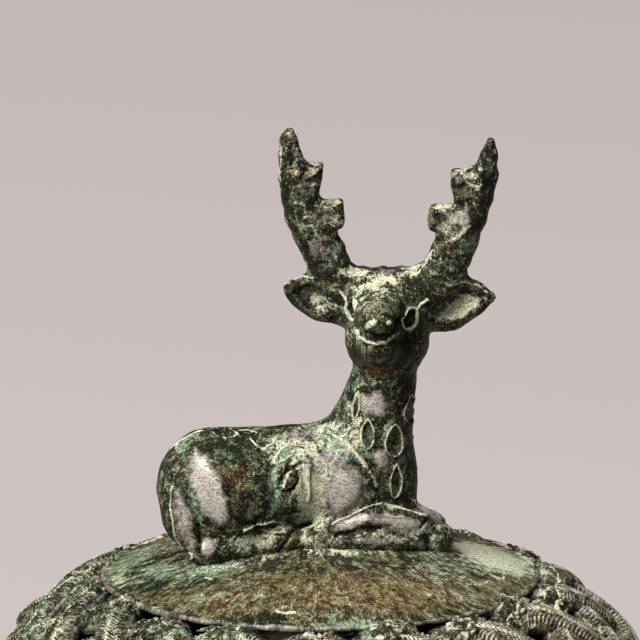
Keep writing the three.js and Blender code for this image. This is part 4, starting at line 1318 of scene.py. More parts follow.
head_pale = np.max([on_line(head_points, line) for line in head_lines], axis=0)
head_points = head_points + facing(head_points, head_faces) * (0.06 * lumps(head_points, 1.4, 71))[:, None]
head_points *= HEAD_SIZE
all_points, all_faces = [], []
for number in range(DRAGONS):
    spot, up, across, _, _ = dragon_line(number, HEAD_STEPS)
    for crest in range(DRAGON_TURNS):
        at = int(round(HEAD_STEPS * (crest - number / DRAGONS) / DRAGON_TURNS)) % HEAD_STEPS
        along = np.cross(up[at], across[at])
        lean = math.radians(10 + 8 * math.sin(7.0 * at))
        ahead = along * math.cos(lean) - across[at] * math.sin(lean)
        aside = np.cross(up[at], ahead)
        rows = np.stack([ahead, aside, up[at]])
        shift = 1.9 * math.sin(3.1 * crest + 2.2 * number)
        seat = spot[at] + across[at] * shift + up[at] * 1.0
        all_faces.append(head_faces + sum(len(points) for points in all_points))
        all_points.append(seat + head_points @ rows)
heads_points = np.concatenate(all_points)
heads = cast("lid_dragon_heads", heads_points, np.concatenate(all_faces))
mark_hollows(heads, 15, 0.4)
heads_pale = np.tile(0.42 * head_pale, DRAGONS * DRAGON_TURNS)
# The heads' crust grows paler toward the lid's right: painted light.
write_mark(heads, "rim", heads_pale + 0.14 * rightwards(heads_points[:, 0]))
settle(heads, LID_BRONZE, "lid", "lid")

foot_out = np.concatenate([[(LID_RADIUS, LID_BASE)], dome_arc(np.pi / 2, PIERCED_EDGE, 0, 0.7)])
foot_out = even(foot_out, 0.9)
foot_in = dome_arc(PIERCED_EDGE, np.pi / 2, LID_WALL, 3.0)
foot_in = np.concatenate([foot_in, [(LID_RADIUS - LID_WALL, LID_BASE)]])
FOOT_SECTION = np.concatenate([foot_out, even(foot_in, 4.0)])
FOOT_LINES = (128.4, 140.4)


def foot_face(angle, section):
    """Two raised lines round the lid's lower ring, and the casting's unevenness."""
    places = round_places(angle, section)
    outside = np.arange(len(section)) < len(foot_out)
    level = section[:, 1]
    lines = sum(np.exp(-(((level - at) / 0.8) ** 2)) for at in FOOT_LINES)
    uneven = 0.15 * lumps(places, 4.0, 72) + 0.08 * lumps(places, 1.6, 73)
    return (0.6 * lines + uneven) * outside * np.clip((level - LID_BASE) / 1.5, 0, 1)


foot = turned("lid_foot", FOOT_SECTION, 420, foot_face)
mark_hollows(foot, 20, 0.5)
settle(foot, LID_BRONZE, "lid", "lid")



def crown_level(x, y):
    """The height of the crown's outer face over a spot."""
    return CROWN_TOP - DOME_HEIGHT * (1 - math.sqrt(1 - (x * x + y * y) / LID_RADIUS**2))


FINIAL_SPOTS = {"rear": (-20.0, -5.0), "front": (8.0, 2.0)}
BOSS_RADIUS = 6.5
BOSS_EDGE = 0.4
BOSS_LEVEL = crown_level(*FINIAL_SPOTS["rear"]) - LID_WALL - 1.4
for name, (x, y) in FINIAL_SPOTS.items():
    top = crown_level(x, y) - LID_WALL / 2
    rim = [(0, BOSS_LEVEL), (BOSS_RADIUS - BOSS_EDGE, BOSS_LEVEL), (BOSS_RADIUS, BOSS_LEVEL + BOSS_EDGE)]
    rim += [(BOSS_RADIUS, top), (0, top)]
    boss = turned("lid_boss_" + name, even(rim, 1.0), 48)
    boss.data.transform(Matrix.Translation((x / 1000, y / 1000, 0)))
    settle(boss, LID_BRONZE, "lid", "lid")

COLLAR_SECTION = [
    (68.6, 116.7), (69.0, 116.3), (70.8, 116.3), (71.2, 116.7), (71.2, LID_BASE), (80.5, LID_BASE),
    (80.5, LID_BASE + 3), (68.9, LID_BASE + 3), (68.6, LID_BASE + 2.7), (68.6, 116.7),
]
collar = turned("lid_collar_ring", even(COLLAR_SECTION, 1.2)[:-1], 300)
settle(collar, bronze("collar bronze", crust=0.3, verdigris=0.5, rust=0.6, speckle=0.4), "lid", "lid_collar")

# Deer
# A lying deer, modelled in wax over the lid's crown and cast in one piece with its ears. Raised leaves
# and lines are laid on it in thin wax strips.

DEER_STEP = 0.6
LINE_STEP = 0.26
DEER_SINK = 0.8
deer_wax = Wax((-47, -31, CROWN_TOP - 12), (48, 20, CROWN_TOP + 73), DEER_STEP)


def on_crown(stations):
    """Stations or places measured from the crown's top."""
    return [(x, y, z + CROWN_TOP, *rest) for x, y, z, *rest in stations]


TORSO = [(-26, -6.5, 14.3, 14.6), (-8, -1.5, 15.6, 12.5), (9, 3, 15.8, 13.2)]
NECK = [(10.5, 2.5, 21, 12.3), (13.7, 1, 31, 8.9), (15.4, -0.5, 38, 7.7), (16.6, -1, 46, 8.0)]
CHEST = [(12.6, 2, 25, 10.4), (14.0, 1.6, 15, 9.6), (15.2, 1.0, 7.5, 9.0)]
MUZZLE = [(16.2, -6, 57.8, 8.2), (14.8, -16.8, 58.5, 5.2)]
CHIN = [(16.0, -5, 49, 8.0), (14.8, -13.6, 51.6, 4.9)]
SKULL_TOP = [(8.5, -1, 64.0, 4.6), (25.5, -1, 64.3, 4.6)]
EARS = [
    (
        [(6, 0, 58.6, 5.4), (0.5, -1, 61.0, 5.6), (-4.2, -1.6, 62.4, 4.0), (-7.4, -2, 63.2, 1.6)],
        (0.15, 1, 0.1),
    ),
    (
        [(27, 0, 57.6, 5.6), (31.6, -0.8, 59.0, 6.3), (36.4, -1.5, 60.8, 5.1), (42.0, -2, 61.3, 1.7)],
        (-0.15, 1, 0.1),
    ),
]
EAR_BOWLS = [
    [(3.6, -4.8, 60.0, 3.2), (-1.2, -5.4, 61.4, 4.2), (-6.2, -5.0, 62.8, 1.9)],
    [(29.0, -4.8, 58.6, 3.2), (34.0, -5.6, 60.0, 4.4), (40.4, -5.0, 61.2, 1.8)],
]
PEDICLES = [[(6.0, -1, 62, 5.6), (2.8, -1, 68.2, 5.3)], [(27.6, -1, 62, 5.6), (30.9, -1, 68.2, 5.3)]]
LEGS = [
    ([(-28.5, -17.5, 0.2, 4.0), (-20, -15.5, 1.2, 3.8), (-8.5, -13.4, 2.4, 3.4)], 1.5),
    ([(-30, 6, 0.5, 4.2), (-12, 9, 1.5, 3.2)], 2.0),
    ([(3, -9.5, 3.6, 4.2), (13, -8.5, 6.0, 4.4), (24.4, -6.5, 3.6, 4.2)], 1.0),
    ([(24, -9, 1.0, 3.0), (12, -11.5, 1.2, 2.8), (-1, -12, 0.6, 3.0)], 0.8),
    ([(-9, -11.5, 0.2, 3.2), (-1, -11, 1.2, 3.8), (5, -10.5, 0.8, 3.0)], 2.0),
    ([(14, 8, 4, 5.0), (27.0, 2, 1.0, 4.8)], 2.0),
    ([(18.5, -2.0, 7.4, 4.6), (24.5, -3.6, 3.6, 4.3), (28.3, -4.6, 0.2, 4.9)], 1.4),
]
deer_wax.limb(on_crown(TORSO), 3)
deer_wax.limb(on_crown(NECK), 3, knit=3)
deer_wax.limb(on_crown(CHEST), 2, knit=3)
deer_wax.ball(*on_crown([(16.8, -1.5, 58.5)]), (12.2, 10.5, 8.8), 2.5)
deer_wax.ball(*on_crown([(16.7, -3, 50.5)]), (10.4, 9.5, 8.8), 2.0)
deer_wax.limb(on_crown(SKULL_TOP), 2.5)
deer_wax.limb(on_crown(CHIN), 2.0)
deer_wax.limb(on_crown(MUZZLE), 0.7)
for ear, way in EARS:
    deer_wax.limb(on_crown(ear), 1.5, flat=(way, 0.5))
for hollow in EAR_BOWLS:
    deer_wax.scoop_limb(on_crown(hollow), 0.8)
for stump in PEDICLES:
    deer_wax.limb(on_crown(stump), 2.5)
deer_wax.ball(*on_crown([(-22, 3, 10.5)]), (14, 9.5, 14), 2.5)
deer_wax.ball(*on_crown([(6, -6.5, 13.5)]), (9.5, 6.5, 11.5), 1.8)
for leg, fillet in LEGS:
    deer_wax.limb(on_crown(leg), fillet)
deer_wax.ball(*on_crown([(-25, -12, 11)]), (14.6, 9.4, 14.6), 1.4)


def over_crown(x, y, z):
    """Trims the deer just under the crown's face, where it was fixed."""
    face = np.sqrt(x * x + y * y + ((z - CROWN_TOP + DOME_HEIGHT) * LID_RADIUS / DOME_HEIGHT) ** 2)
    return (LID_RADIUS - DEER_SINK - face) * 0.55


def halved(faces):
    """Faces of four corners cut into triangles."""
    return np.concatenate([faces[:, [0, 1, 2]], faces[:, [0, 2, 3]]])


def finer(points, faces, wanted):
    """Splits triangles at the middles of edges that are longer than is wanted at their ends."""
    for _ in range(2):
        ends = np.sort(faces[:, [0, 1, 1, 2, 2, 0]].reshape(-1, 2), axis=1)
        key, index = np.unique(ends[:, 0] * len(points) + ends[:, 1], return_inverse=True)
        a, b = np.divmod(key, len(points))
        cut = np.linalg.norm(points[a] - points[b], axis=1) > np.minimum(wanted[a], wanted[b])
        middle = (len(points) + np.cumsum(cut) - 1)[index].reshape(-1, 3)
        split = cut[index].reshape(-1, 3)
        points = np.concatenate([points, (points[a[cut]] + points[b[cut]]) / 2])
        wanted = np.concatenate([wanted, np.maximum(wanted[a[cut]], wanted[b[cut]])])
        count = split.sum(1)
        start = np.where(count == 1, split.argmax(1), split.argmin(1) + 1)
        order = (start[:, None] + np.arange(3)) % 3
        v = np.take_along_axis(faces, order, 1)
        m = np.take_along_axis(middle, order, 1)
        corners = {
            0: [(v[:, 0], v[:, 1], v[:, 2])],
            1: [(v[:, 0], m[:, 0], v[:, 2]), (m[:, 0], v[:, 1], v[:, 2])],
            2: [(v[:, 0], m[:, 0], v[:, 2]), (m[:, 0], v[:, 1], m[:, 1]), (m[:, 0], m[:, 1], v[:, 2])],
            3: [
                (v[:, 0], m[:, 0], m[:, 2]),
                (m[:, 0], v[:, 1], m[:, 1]),
                (m[:, 2], m[:, 1], v[:, 2]),
                (m[:, 0], m[:, 1], m[:, 2]),
            ],
        }
        faces = np.concatenate(
            [np.stack(corner, 1)[count == number] for number in corners for corner in corners[number]]
        )
    return points, faces


BROAD_FORMS = [
    ([(200, 456), (214, 473), (224, 492), (229, 516)], 13.0, 1.4, 0.0),
    ([(172, 470), (168, 500), (172, 535)], 9.0, 0.7, 0.0),
    ([(329, 434), (346, 446), (361, 462), (372, 478)], 8.0, 0.9, 0.2),
]
GROOVES_AND_SHADES = [
    # A broad band with no relief darkens the neck's right side: painted shade.
    ([(409, 380), (410, 430), (408, 485)], 8.0, 0.0, -1.0),
    ([(172, 482), (184, 497), (196, 516), (199, 535), (198, 553)], 2.4, -1.5, -0.3),
    ([(262, 448), (272, 468), (276, 492), (270, 512), (256, 526)], 3.4, -0.9, 0.1),
    ([(297, 527), (290, 538), (282, 549)], 2.0, -1.2, -0.6),
    ([(244, 534), (256, 530), (270, 526)], 2.0, -0.5, -0.5),
    ([(336, 536), (348, 533), (359, 530), (373, 529), (390, 527)], 2.0, -0.9, -0.6),
    ([(390, 532), (406, 534), (418, 530)], 4.0, -0.8, -0.6),
    ([(427, 517), (424, 522), (421, 528)], 1.3, -0.9, -0.6),
    ([(360, 328), (366, 335.5), (378, 338.5), (390, 335.5), (398, 329), (401, 319)], 2.6, -1.3, -0.9),
    # A broad band with no relief darkens the underside of the jaw: painted shade.
    ([(356, 357), (372, 362), (392, 360), (408, 350)], 8.0, 0.0, -0.8),
    ([(352, 366), (366, 371), (384, 372), (402, 369), (414, 362)], 5.0, -0.6, -0.3),
    ([(352, 470), (364, 480), (367, 493), (358, 506), (345, 516)], 4.5, -0.8, -0.5),
    ([(291, 461), (288, 470), (293, 469), (301, 463)], 2.2, -0.8, -0.7),
    ([(280, 489), (286, 492.5), (293, 489), (298, 481), (299, 472)], 2.0, -1.0, -0.8),
    ([(280, 484), (283, 475), (291, 467)], 1.7, -0.8, -0.8),
]
RIDGES = [
    ([(330, 435), (349, 447.5), (363, 464), (371, 476), (376, 485)], 3.0, 0.6, 1.0),
    ([(332, 525.5), (354, 514), (364, 508.5), (371, 506), (381, 505)], 1.5, 0.5, 1.0),
    ([(381, 505), (397, 508), (412, 512.5), (427, 516)], 1.5, 0.5, 0.95),
    ([(386, 515), (396, 517), (404, 517)], 1.6, 0.3, 0.7),
    ([(244, 529.5), (256, 526.5), (270, 521.5), (284, 522.5), (296, 525.5)], 1.6, 0.6, 0.95),
    ([(171, 449), (180, 442), (190, 436), (203, 431.5)], 1.2, 0.4, 1.0),
    ([(251, 440), (256, 445.5), (265, 447.6), (272, 445), (277.5, 437)], 1.3, 0.45, 1.0),
    ([(283, 434), (290, 438), (302, 444)], 1.5, 0.4, 0.9),
    ([(238, 431), (248, 430), (256, 433)], 1.2, 0.35, 0.9),
    ([(300.5, 468), (300, 476), (301, 485)], 1.6, 0.6, 0.7),
    ([(309.5, 467), (308, 478), (309, 500)], 1.6, 0.6, 0.7),
    ([(357, 331), (361, 337.5), (367, 341.8), (376.5, 343.2), (384, 341.5)], 2.0, 0.6, 1.4),
    ([(384, 341.5), (391, 338.5), (399, 332.5)], 1.4, 0.35, 0.6),
    (
        [(341, 292), (345, 297), (347.4, 302), (346.8, 308), (349, 315), (352.6, 320), (356, 319.5)],
        1.7, 0.6, 1.0,
    ),
    ([(417.5, 309), (421, 304), (428, 299.5)], 1.6, 0.5, 1.0),
    ([(286, 286), (292, 280.5), (303, 277.5), (316, 278)], 1.3, 0.35, 0.7),
    ([(446, 287), (462, 282), (478, 286), (488, 293)], 1.3, 0.35, 0.5),
    ([(408, 498), (420, 504), (437, 514), (447, 524), (453, 537)], 2.4, 0.3, 0.4),
    ([(173, 486), (173, 512), (178, 540), (185, 553)], 1.4, 0.4, 0.7),
]
LEAVES = [
    ((368, 434), (15, 6.0), 88),
    ((394, 440), (17, 8.6), 87),
    ((410.5, 409), (15, 6.0), 85),
    ((396, 481), (17, 5.5), 86),
    ((357, 405), (13, 3.2), 80),
    ((226, 433.5), (13, 4.6), -6, 0.35, 0.2, 0.5),
    ((283.5, 455), (13, 6.0), 218, 0.4, -0.3, 0.9, 0.2),
    ((290, 480), (12.5, 5.4), 232, 0.2, -0.7, 0.6, 0.3),
]
DOTS = [
    ((381.5, 459), (6.5, 8.5), 0, 0.5, 0.0),
    ((351.2, 308), (8.5, 2.6), 106, -1.1, -1.0),
    ((355.8, 305), (8.0, 3.2), 104, 0.6, 1.1),
    ((410.4, 319), (9.4, 5.8), 68, -1.3, -1.0),
    # A flat patch keeps the muzzle's lower half bare and dark: painted shade under the muzzle.
    ((381, 328), (19, 8.5), 0, 0.0, -0.7),
    ((303, 291), (13, 4.5), 28, -0.5, -0.8),
    # Two small raised pale spots on the nose paint in its highlights.
    ((371, 324.5), (9.8, 5.6), 35, 0.3, 1.2),
    ((388.7, 322.6), (4.2, 4.0), 0, 0.3, 1.2),
    ((398, 320), (6, 9), 20, -0.4, -0.7),
    ((188.5, 557), (2.2, 2.2), 0, -0.5, -0.6),
    ((377, 487), (1.8, 1.8), 0, -0.4, -0.6),
    ((245, 530), (3.0, 3.0), 0, 0.4, 0.6),
    ((298, 524), (4.0, 3.0), 0, 0.4, 0.6),
]
RINGS = [((410.4, 318.8), 6.8, 10.4, 1.5, 0.6), ((188.5, 557), 4.4, 4.4, 1.4, 0.5)]
DEER_STAINS_AND_SHEEN = {
    # Most worn patches sit where the lamp's sheen falls, on thigh, shoulder, neck and foreleg: partly rubbed
    # metal, partly painted sheen; the two on the nose are painted highlights.
    "worn": [
        ((208, 489), (34, 13), -69, 1.0),
        ((208, 547), (10, 7), 90, 0.9),
        ((184, 522), (32, 9), -77, 0.7),
        ((374, 404), (15, 12), 0, 0.9),
        ((344, 491), (26, 21), 80, 0.95),
        ((330, 462), (22, 20), 0, 0.6),
        ((300, 436), (30, 7), 0, 0.5),
        ((318, 472), (22, 26), 0, 0.55),
        ((381, 459), (7, 9), 0, 1.0),
        ((352, 522), (22, 6), 22, 0.9),
        ((398, 524), (30, 9), -8, 0.85),
        ((431, 512), (16, 5), -38, 0.8),
        ((375, 541), (40, 4), 0, 0.6),
        ((386, 272), (14, 6), 0, 0.4),
        ((372, 325), (7, 4.5), 35, 0.5),
        ((388.7, 322.6), (4, 4), 0, 0.5),
    ],
    "green": [
        ((275, 489), (8, 26), 0, 1.0),
        ((285, 456), (14, 9), 38, 1.0),
        ((336, 442), (28, 12), -30, 0.9),
        ((312, 470), (18, 22), 0, 0.6),
        ((352, 378), (10, 14), 0, 0.3),
        ((380, 384), (20, 8), 0, 0.3),
        ((189, 442), (12, 6), 35, 0.7),
        ((440, 533), (9, 7), 0, 0.5),
        ((195, 505), (5, 22), 15, 0.7),
    ],
    "rim": [
        ((312, 500), (20, 34), 0, 0.62),
        ((308, 468), (42, 40), 0, 0.5),
        ((258, 543), (48, 11), 0, 0.42),
        ((395, 530), (56, 16), 0, 0.38),
        ((296, 470), (18, 24), 0, 0.58),
        ((398, 530), (40, 12), 0, 0.46),
        ((352, 272), (18, 7), 0, 0.5),
        ((350, 336), (12, 30), 0, 0.22),
        # The pale crust down the neck's lit left edge partly paints in its highlight.
        ((358, 418), (13, 40), -15, 0.3),
        ((378, 440), (22, 30), 0, 0.2),
        ((383, 283), (28, 14), 0, 0.42),
        ((372, 300), (18, 14), 0, 0.25),
        ((415, 268), (16, 7), 30, 0.5),
        ((323, 303), (14, 10), -25, 0.4),
        ((461, 309), (27, 10), 20, 0.64),
        ((326, 434), (26, 11), 10, 0.45),
        ((338, 446), (20, 10), -35, 0.4),
        ((286, 530), (30, 5), 8, 0.35),
        ((316, 540), (26, 7), 0, 0.36),
        ((184, 520), (30, 8), -77, 0.2),
    ],
    "rust": [
        ((382, 373), (16, 5), 0, 0.9),
        ((302, 540), (12, 7), 0, 1.0),
        ((287, 546), (7, 6), 0, 1.0),
        ((381, 472), (5, 8), 0, 0.9),
        ((234, 478), (14, 12), 0, 0.6),
        ((320, 525), (10, 12), 0, 0.6),
        ((388, 517), (16, 4), 0, 0.6),
    ],
}
BODY_LEVEL = 390


def dress(side, whole):
    """Lays the stains, painted sheens and shades, grooves, strips and leaves on one side of the deer: the
    face too, or the body only.
    """
    for mark, patches in DEER_STAINS_AND_SHEEN.items():
        for patch in patches:
            if whole or patch[0][1] > BODY_LEVEL:
                side.stain_or_sheen(mark, *patch)
    for line in BROAD_FORMS + GROOVES_AND_SHADES + RIDGES:
        if whole or line[0][0][1] > BODY_LEVEL:
            side.strip(*line)
    for lay, shapes in ((side.leaf, LEAVES), (side.dot, DOTS)):
        for shape in shapes:
            if whole or shape[0][1] > BODY_LEVEL:
                lay(*shape)
    for (x, y), across, tall, width, height in RINGS:
        turns = np.radians(np.arange(0, 361, 20))
        loop = [(x + across * math.cos(t) + 0.25 * tall * math.sin(t), y - tall * math.sin(t)) for t in turns]
        if whole or y > BODY_LEVEL:
            side.strip(loop, width, height, 1.0)


deer_wax.keep(over_crown)
deer_points, deer_faces = deer_wax.surface()
deer_faces = halved(deer_faces)
for fine in (False, True):
    deer_out = facing(deer_points, deer_faces)
    deer_front = Side(deer_points, deer_out)
    deer_back = Side(deer_points, deer_out, 180)
    dress(deer_front, True)
    dress(deer_back, False)
    if not fine:
        near = np.maximum(deer_front.near, deer_back.near)
        wanted = np.where(near > 0.8, LINE_STEP, np.inf)
        deer_points, deer_faces = finer(deer_points, deer_faces, wanted)
deer_marks = {mark: np.maximum(deer_front.marks[mark], deer_back.marks[mark]) for mark in deer_front.marks}
hidden = deer_front.plain < deer_back.plain
deer_marks["rim"] = np.where(hidden, deer_back.marks["rim"], deer_front.marks["rim"])
deer_rise = deer_front.rise + deer_back.rise
HAUNCH_EDGE = ((184, 522), (34, 9), -77)
pebbled = np.clip(1.2 - deer_front.within(*HAUNCH_EDGE), 0, 0.6) * deer_front.plain
HEAD_TOP_LEVEL = 61.0
head_top = np.clip((deer_points[:, 2] - CROWN_TOP - HEAD_TOP_LEVEL) / 5, 0, 1)
uneven = 0.16 * lumps(deer_points, 3.2, 1) + 0.08 * lumps(deer_points, 1.3, 2)
deer_rise += uneven * (1 - 0.6 * deer_marks["worn"])
deer_rise += head_top * (0.45 * lumps(deer_points, 2.2, 3) + 0.2 * lumps(deer_points, 1.1, 4))
deer_rise += pebbled * 0.5 * lumps(deer_points, 0.9, 5)
deer_points = deer_points + deer_out * deer_rise[:, None]

deer = cast("deer_figure", deer_points, deer_faces)
mark_hollows(deer, 30, 0.8)
for mark, values in deer_marks.items():
    write_mark(deer, mark, values)
DEER_BRONZE = bronze("deer bronze", crust=1.0, verdigris=0.55, rust=0.35, speckle=0.6)
settle(deer, DEER_BRONZE, "lid", "deer")

# The seam between the deer and the crown is run full, and has crusted over.
SEAM_RISE = 1.3
SEAM_REACH = 1.7
CRUST_REACH = 2.6
SEAM_RADIUS = 50.0
seam_points = deer_points[np.abs(over_crown(*deer_points.T) + 0.4) < 0.6]
seam = KDTree(len(seam_points))
for number, point in enumerate(seam_points):
    seam.insert(point, number)
seam.balance()
gap = np.full(len(crown_places), 100.0)
for number in np.flatnonzero(np.hypot(*crown_places[:, :2].T) < SEAM_RADIUS):
    gap[number] = seam.find(crown_places[number])[2]
filled = np.exp(-((gap / SEAM_REACH) ** 2)) * (0.7 + 0.3 * lumps(crown_places, 2.5, 91))
crown_places[:, 2] += SEAM_RISE * filled
crown.data.vertices.foreach_set("co", (crown_places / 1000).astype(np.float32).ravel())
crown.data.update()
crusted = np.exp(-((gap / CRUST_REACH) ** 2)) * np.clip(0.6 + 0.7 * lumps(crown_places, 5.0, 92), 0, 1)
for mark, amount in (("rim", 0.55), ("green", 0.6)):
    write_mark(crown, mark, np.maximum(crown_side.marks[mark], amount * crusted))

# Antlers
# Two rough bronze antlers, cast by themselves and set on the stumps with tenons. Their inner tines are
# broken off short, and the breaks show paler metal.

ANTLERS = {
    "left": (
        [
            (2.6, -1, 68.9, 5.0), (0.9, -1, 72.8, 4.9), (-1.4, -1.3, 77.3, 4.8), (-3.8, -1.7, 82.6, 4.7),
            (-5.0, -2.2, 87.0, 4.2), (-6.3, -2.7, 91.5, 3.5), (-7.3, -3.1, 97, 2.6), (-7.6, -3.4, 101, 1.9),
            (-7.6, -3.5, 103.4, 1.1),
        ],
        [((1.6, -2.2, 82.0), (4.4, 2.7, 3.5), -7), ((-3.0, -2.8, 92.0), (3.6, 2.3, 3.5), 4)],
    ),
    "right": (
        [
            (31.0, -1, 68.9, 5.0), (32.9, -1, 72.8, 4.9), (34.4, -1.2, 76.6, 4.8), (36.6, -1.6, 82, 4.4),
            (38.8, -2.2, 87.4, 3.8), (40.7, -2.8, 92.4, 3.0), (41.8, -3.2, 97.3, 1.9),
            (42.2, -3.5, 101.0, 1.0),
        ],
        [((31.3, -2.2, 81.0), (4.6, 2.7, 3.2), 10), ((36.6, -2.8, 90.0), (4.1, 2.3, 3.8), -3)],
    ),
}
ANTLER_LINES = [
    ([(285, 133), (282, 150), (281, 168), (282, 184)], 1.7, 0.25, 0.6),
    ([(303, 171), (308, 176), (316, 172), (322, 167)], 2.0, 0.3, 0.8),
    ([(284, 190), (288, 212), (297, 231), (308, 250), (316, 267)], 5.5, -0.2, -1.0),
    ([(299, 226), (309, 243), (321, 262), (327, 271)], 1.6, 0.4, 0.5),
    ([(341, 203), (343, 215), (338, 228)], 3.0, -0.2, -0.8),
    ([(322, 168), (321, 180), (318, 192)], 2.6, -0.2, -0.8),
    ([(331, 202), (338, 200), (342, 204)], 1.4, 0.2, 0.6),
    ([(489, 172), (486, 195), (483, 213), (480, 228)], 6.0, -0.2, -1.0),
    ([(430, 212), (428, 222), (431, 235)], 1.4, 0.2, 0.5),
    ([(433, 211), (441, 215), (449, 223)], 1.5, 0.3, 0.5),
    ([(451, 241), (459, 237), (465, 230), (469, 226)], 3.0, 0.4, 1.0),
    ([(452, 174), (451, 182), (454, 192)], 1.4, 0.2, 0.5),
    ([(466, 181), (472, 186), (478, 187)], 2.4, 0.3, 0.9),
    ([(477, 190), (482, 183)], 1.2, 0.2, 0.8),
    ([(425, 262), (431, 254), (435, 248)], 2.2, 0.2, 0.9),
]
ANTLER_DOTS = [
    ((305, 170), (3, 2.4), 0, -0.5, -0.9),
    ((299, 187), (3, 5), 0, 0.2, 0.7),
    ((305, 216.6), (3, 2.2), 0, 0.2, 1.0),
    ((313, 206), (7, 8), 0, -0.3, -0.7),
    ((442, 220), (6.0, 8), 40, -0.5, -1.0),
    ((463, 191), (9, 6), 0, -0.4, -1.0),
    ((458, 181), (5, 4.5), 30, 0.2, 0.7),
    ((439, 234), (4, 3.5), 0, 0.3, 0.9),
    ((481, 170), (4.5, 5), 0, 0.5, 0.8),
    ((488, 145), (3, 5), 75, 0.1, 0.5),
]
ANTLER_STAINS = {
    "worn": [
        ((463, 218), (8, 9), 0, 0.8),
        ((459, 180), (6, 5), 0, 0.6),
        ((322, 214), (13, 9), 0, 0.5),
        ((322, 246), (16, 20), -50, 0.45),
        ((488, 158), (4, 14), 80, 0.3),
    ],
    "rim": [
        ((322, 244), (16, 18), -50, 0.2),
        ((454, 219), (7, 6), 0, 0.7),
    ],
    "rust": [
        ((289, 134), (6, 5), 0, 1.0),
        ((300, 176), (10, 14), 0, 0.35),
        ((446, 251), (10, 9), 0, 0.35),
        ((454, 218), (5, 4), 0, 0.8),
    ],
    "green": [
        ((470, 244), (14, 7), 50, 0.6),
        ((442, 277), (6, 7), 0, 0.8),
        ((300, 200), (8, 12), 0, 0.5),
        ((335, 254), (6, 8), 0, 0.6),
    ],
}
ANTLER_STEP = 0.36
ANTLER_BRONZE = bronze(
    "antler bronze", crust=0.9, verdigris=0.3, rust=0.3, speckle=0.8, pits=1.0, scratches=0.8
)
for name, (beam, stubs) in ANTLERS.items():
    inward = 1 if name == "left" else -1
    rows = np.array(on_crown(beam))
    antler_wax = Wax(rows[:, :3].min(0) - 9, rows[:, :3].max(0) + 9, ANTLER_STEP)
    antler_wax.limb(rows, 0.5, flat=((0, 1, 0), 0.85), knit=1.5)
    for centre, half, lean in stubs:
        x, y, z = on_crown([centre])[0]
        antler_wax.block((x, y, z), half, lean, 2.2, 0.7)
        antler_wax.scoop((x + inward * (half[0] - 2.0), y - 0.6, z + half[2] + 1.6), (1.9, 3.4, 2.0), 0.8)
        antler_wax.scoop((x + inward * (half[0] + 1.6), y, z - half[2] + 0.4), (2.6, 3.4, 2.4), 1.0)
        antler_wax.scoop((x + inward * 0.6, y - half[1] - 1.3, z), (2.6, 2.0, 2.4), 0.6)
    for station, lift in ((2, -1.0), (4, 0.5), (6, 0.0)):
        x, y, z, radius = rows[station]
        antler_wax.scoop((x + inward * 0.8, y - radius - 0.9, z + lift), (0.5 * radius, 1.6, 4.2), 0.8)
    points, faces = antler_wax.surface()
    out = facing(points, faces)
    drawn = points * (1, 1, 0.55)
    rough = 0.12 * lumps(drawn, 2.4, 81) + 0.1 * lumps(points, 1.3, 82) + 0.08 * lumps(points, 0.8, 83)
    ridged = 1 - 2 * np.abs(lumps(drawn, 2.7, 84))
    broken_off = np.zeros(len(points))
    for centre, half, lean in stubs:
        near = np.linalg.norm((points - on_crown([centre])[0]) / (np.array(half) + 1.0), axis=1)
        broken_off = np.maximum(broken_off, np.clip(1.6 - near, 0, 1))
    side = Side(points, out)
    for mark, patches in ANTLER_STAINS.items():
        for patch in patches:
            side.stain_or_sheen(mark, *patch)
    for line in ANTLER_LINES:
        side.strip(*line)
    for dot in ANTLER_DOTS:
        side.dot(*dot)
    points = points + out * (rough + 0.12 * ridged + side.rise)[:, None]
    antler = cast("antler_" + name + "_beam", points, faces)
    mark_hollows(antler, 25, 0.6)
    crusted = 0.5 * np.clip(lumps(points, 4.0, 85) - 0.1, 0, 1)
    rubbed = 0.5 * ridged + 0.45 * lumps(points, 0.9, 86) + 0.5 * lumps(points, 0.55, 88)
    rubbed = np.clip(rubbed - 0.2, 0, 0.5)
    crusted = np.maximum(crusted, np.clip(0.8 * ridged + 0.6 * lumps(points, 1.0, 90) - 0.55, 0, 0.5))
    for centre, half, lean in stubs:
        over = (points[:, 2] - on_crown([centre])[0][2]) / half[2]
        crusted = np.maximum(crusted, broken_off * np.clip(1.5 - 2.4 * np.abs(over - 0.85), 0, 0.75))
    rubbed = np.maximum(rubbed, broken_off * np.clip(0.2 + 0.7 * lumps(points, 1.4, 89), 0, 0.6))
    from_root = np.linalg.norm(points - rows[0, :3], axis=1)
    crusted = np.maximum(crusted, np.clip(1.5 - from_root / 6, 0, 1) * 0.35)
    laid = side.marks["rim"]
    side.marks["rim"] = np.where(laid < -0.05, laid, np.maximum(0.9 * crusted, laid))
    side.marks["worn"] = np.maximum(rubbed * np.clip(1 + 1.2 * laid, 0, 1), side.marks["worn"])
    side.hand_over(antler)
    settle(antler, ANTLER_BRONZE, "lid", "antler_" + name)

# Deer's fixings
# Two hammered rivets come up through bosses under the crown into the deer, each with a washer under its
# head. They show only when the lid is lifted.

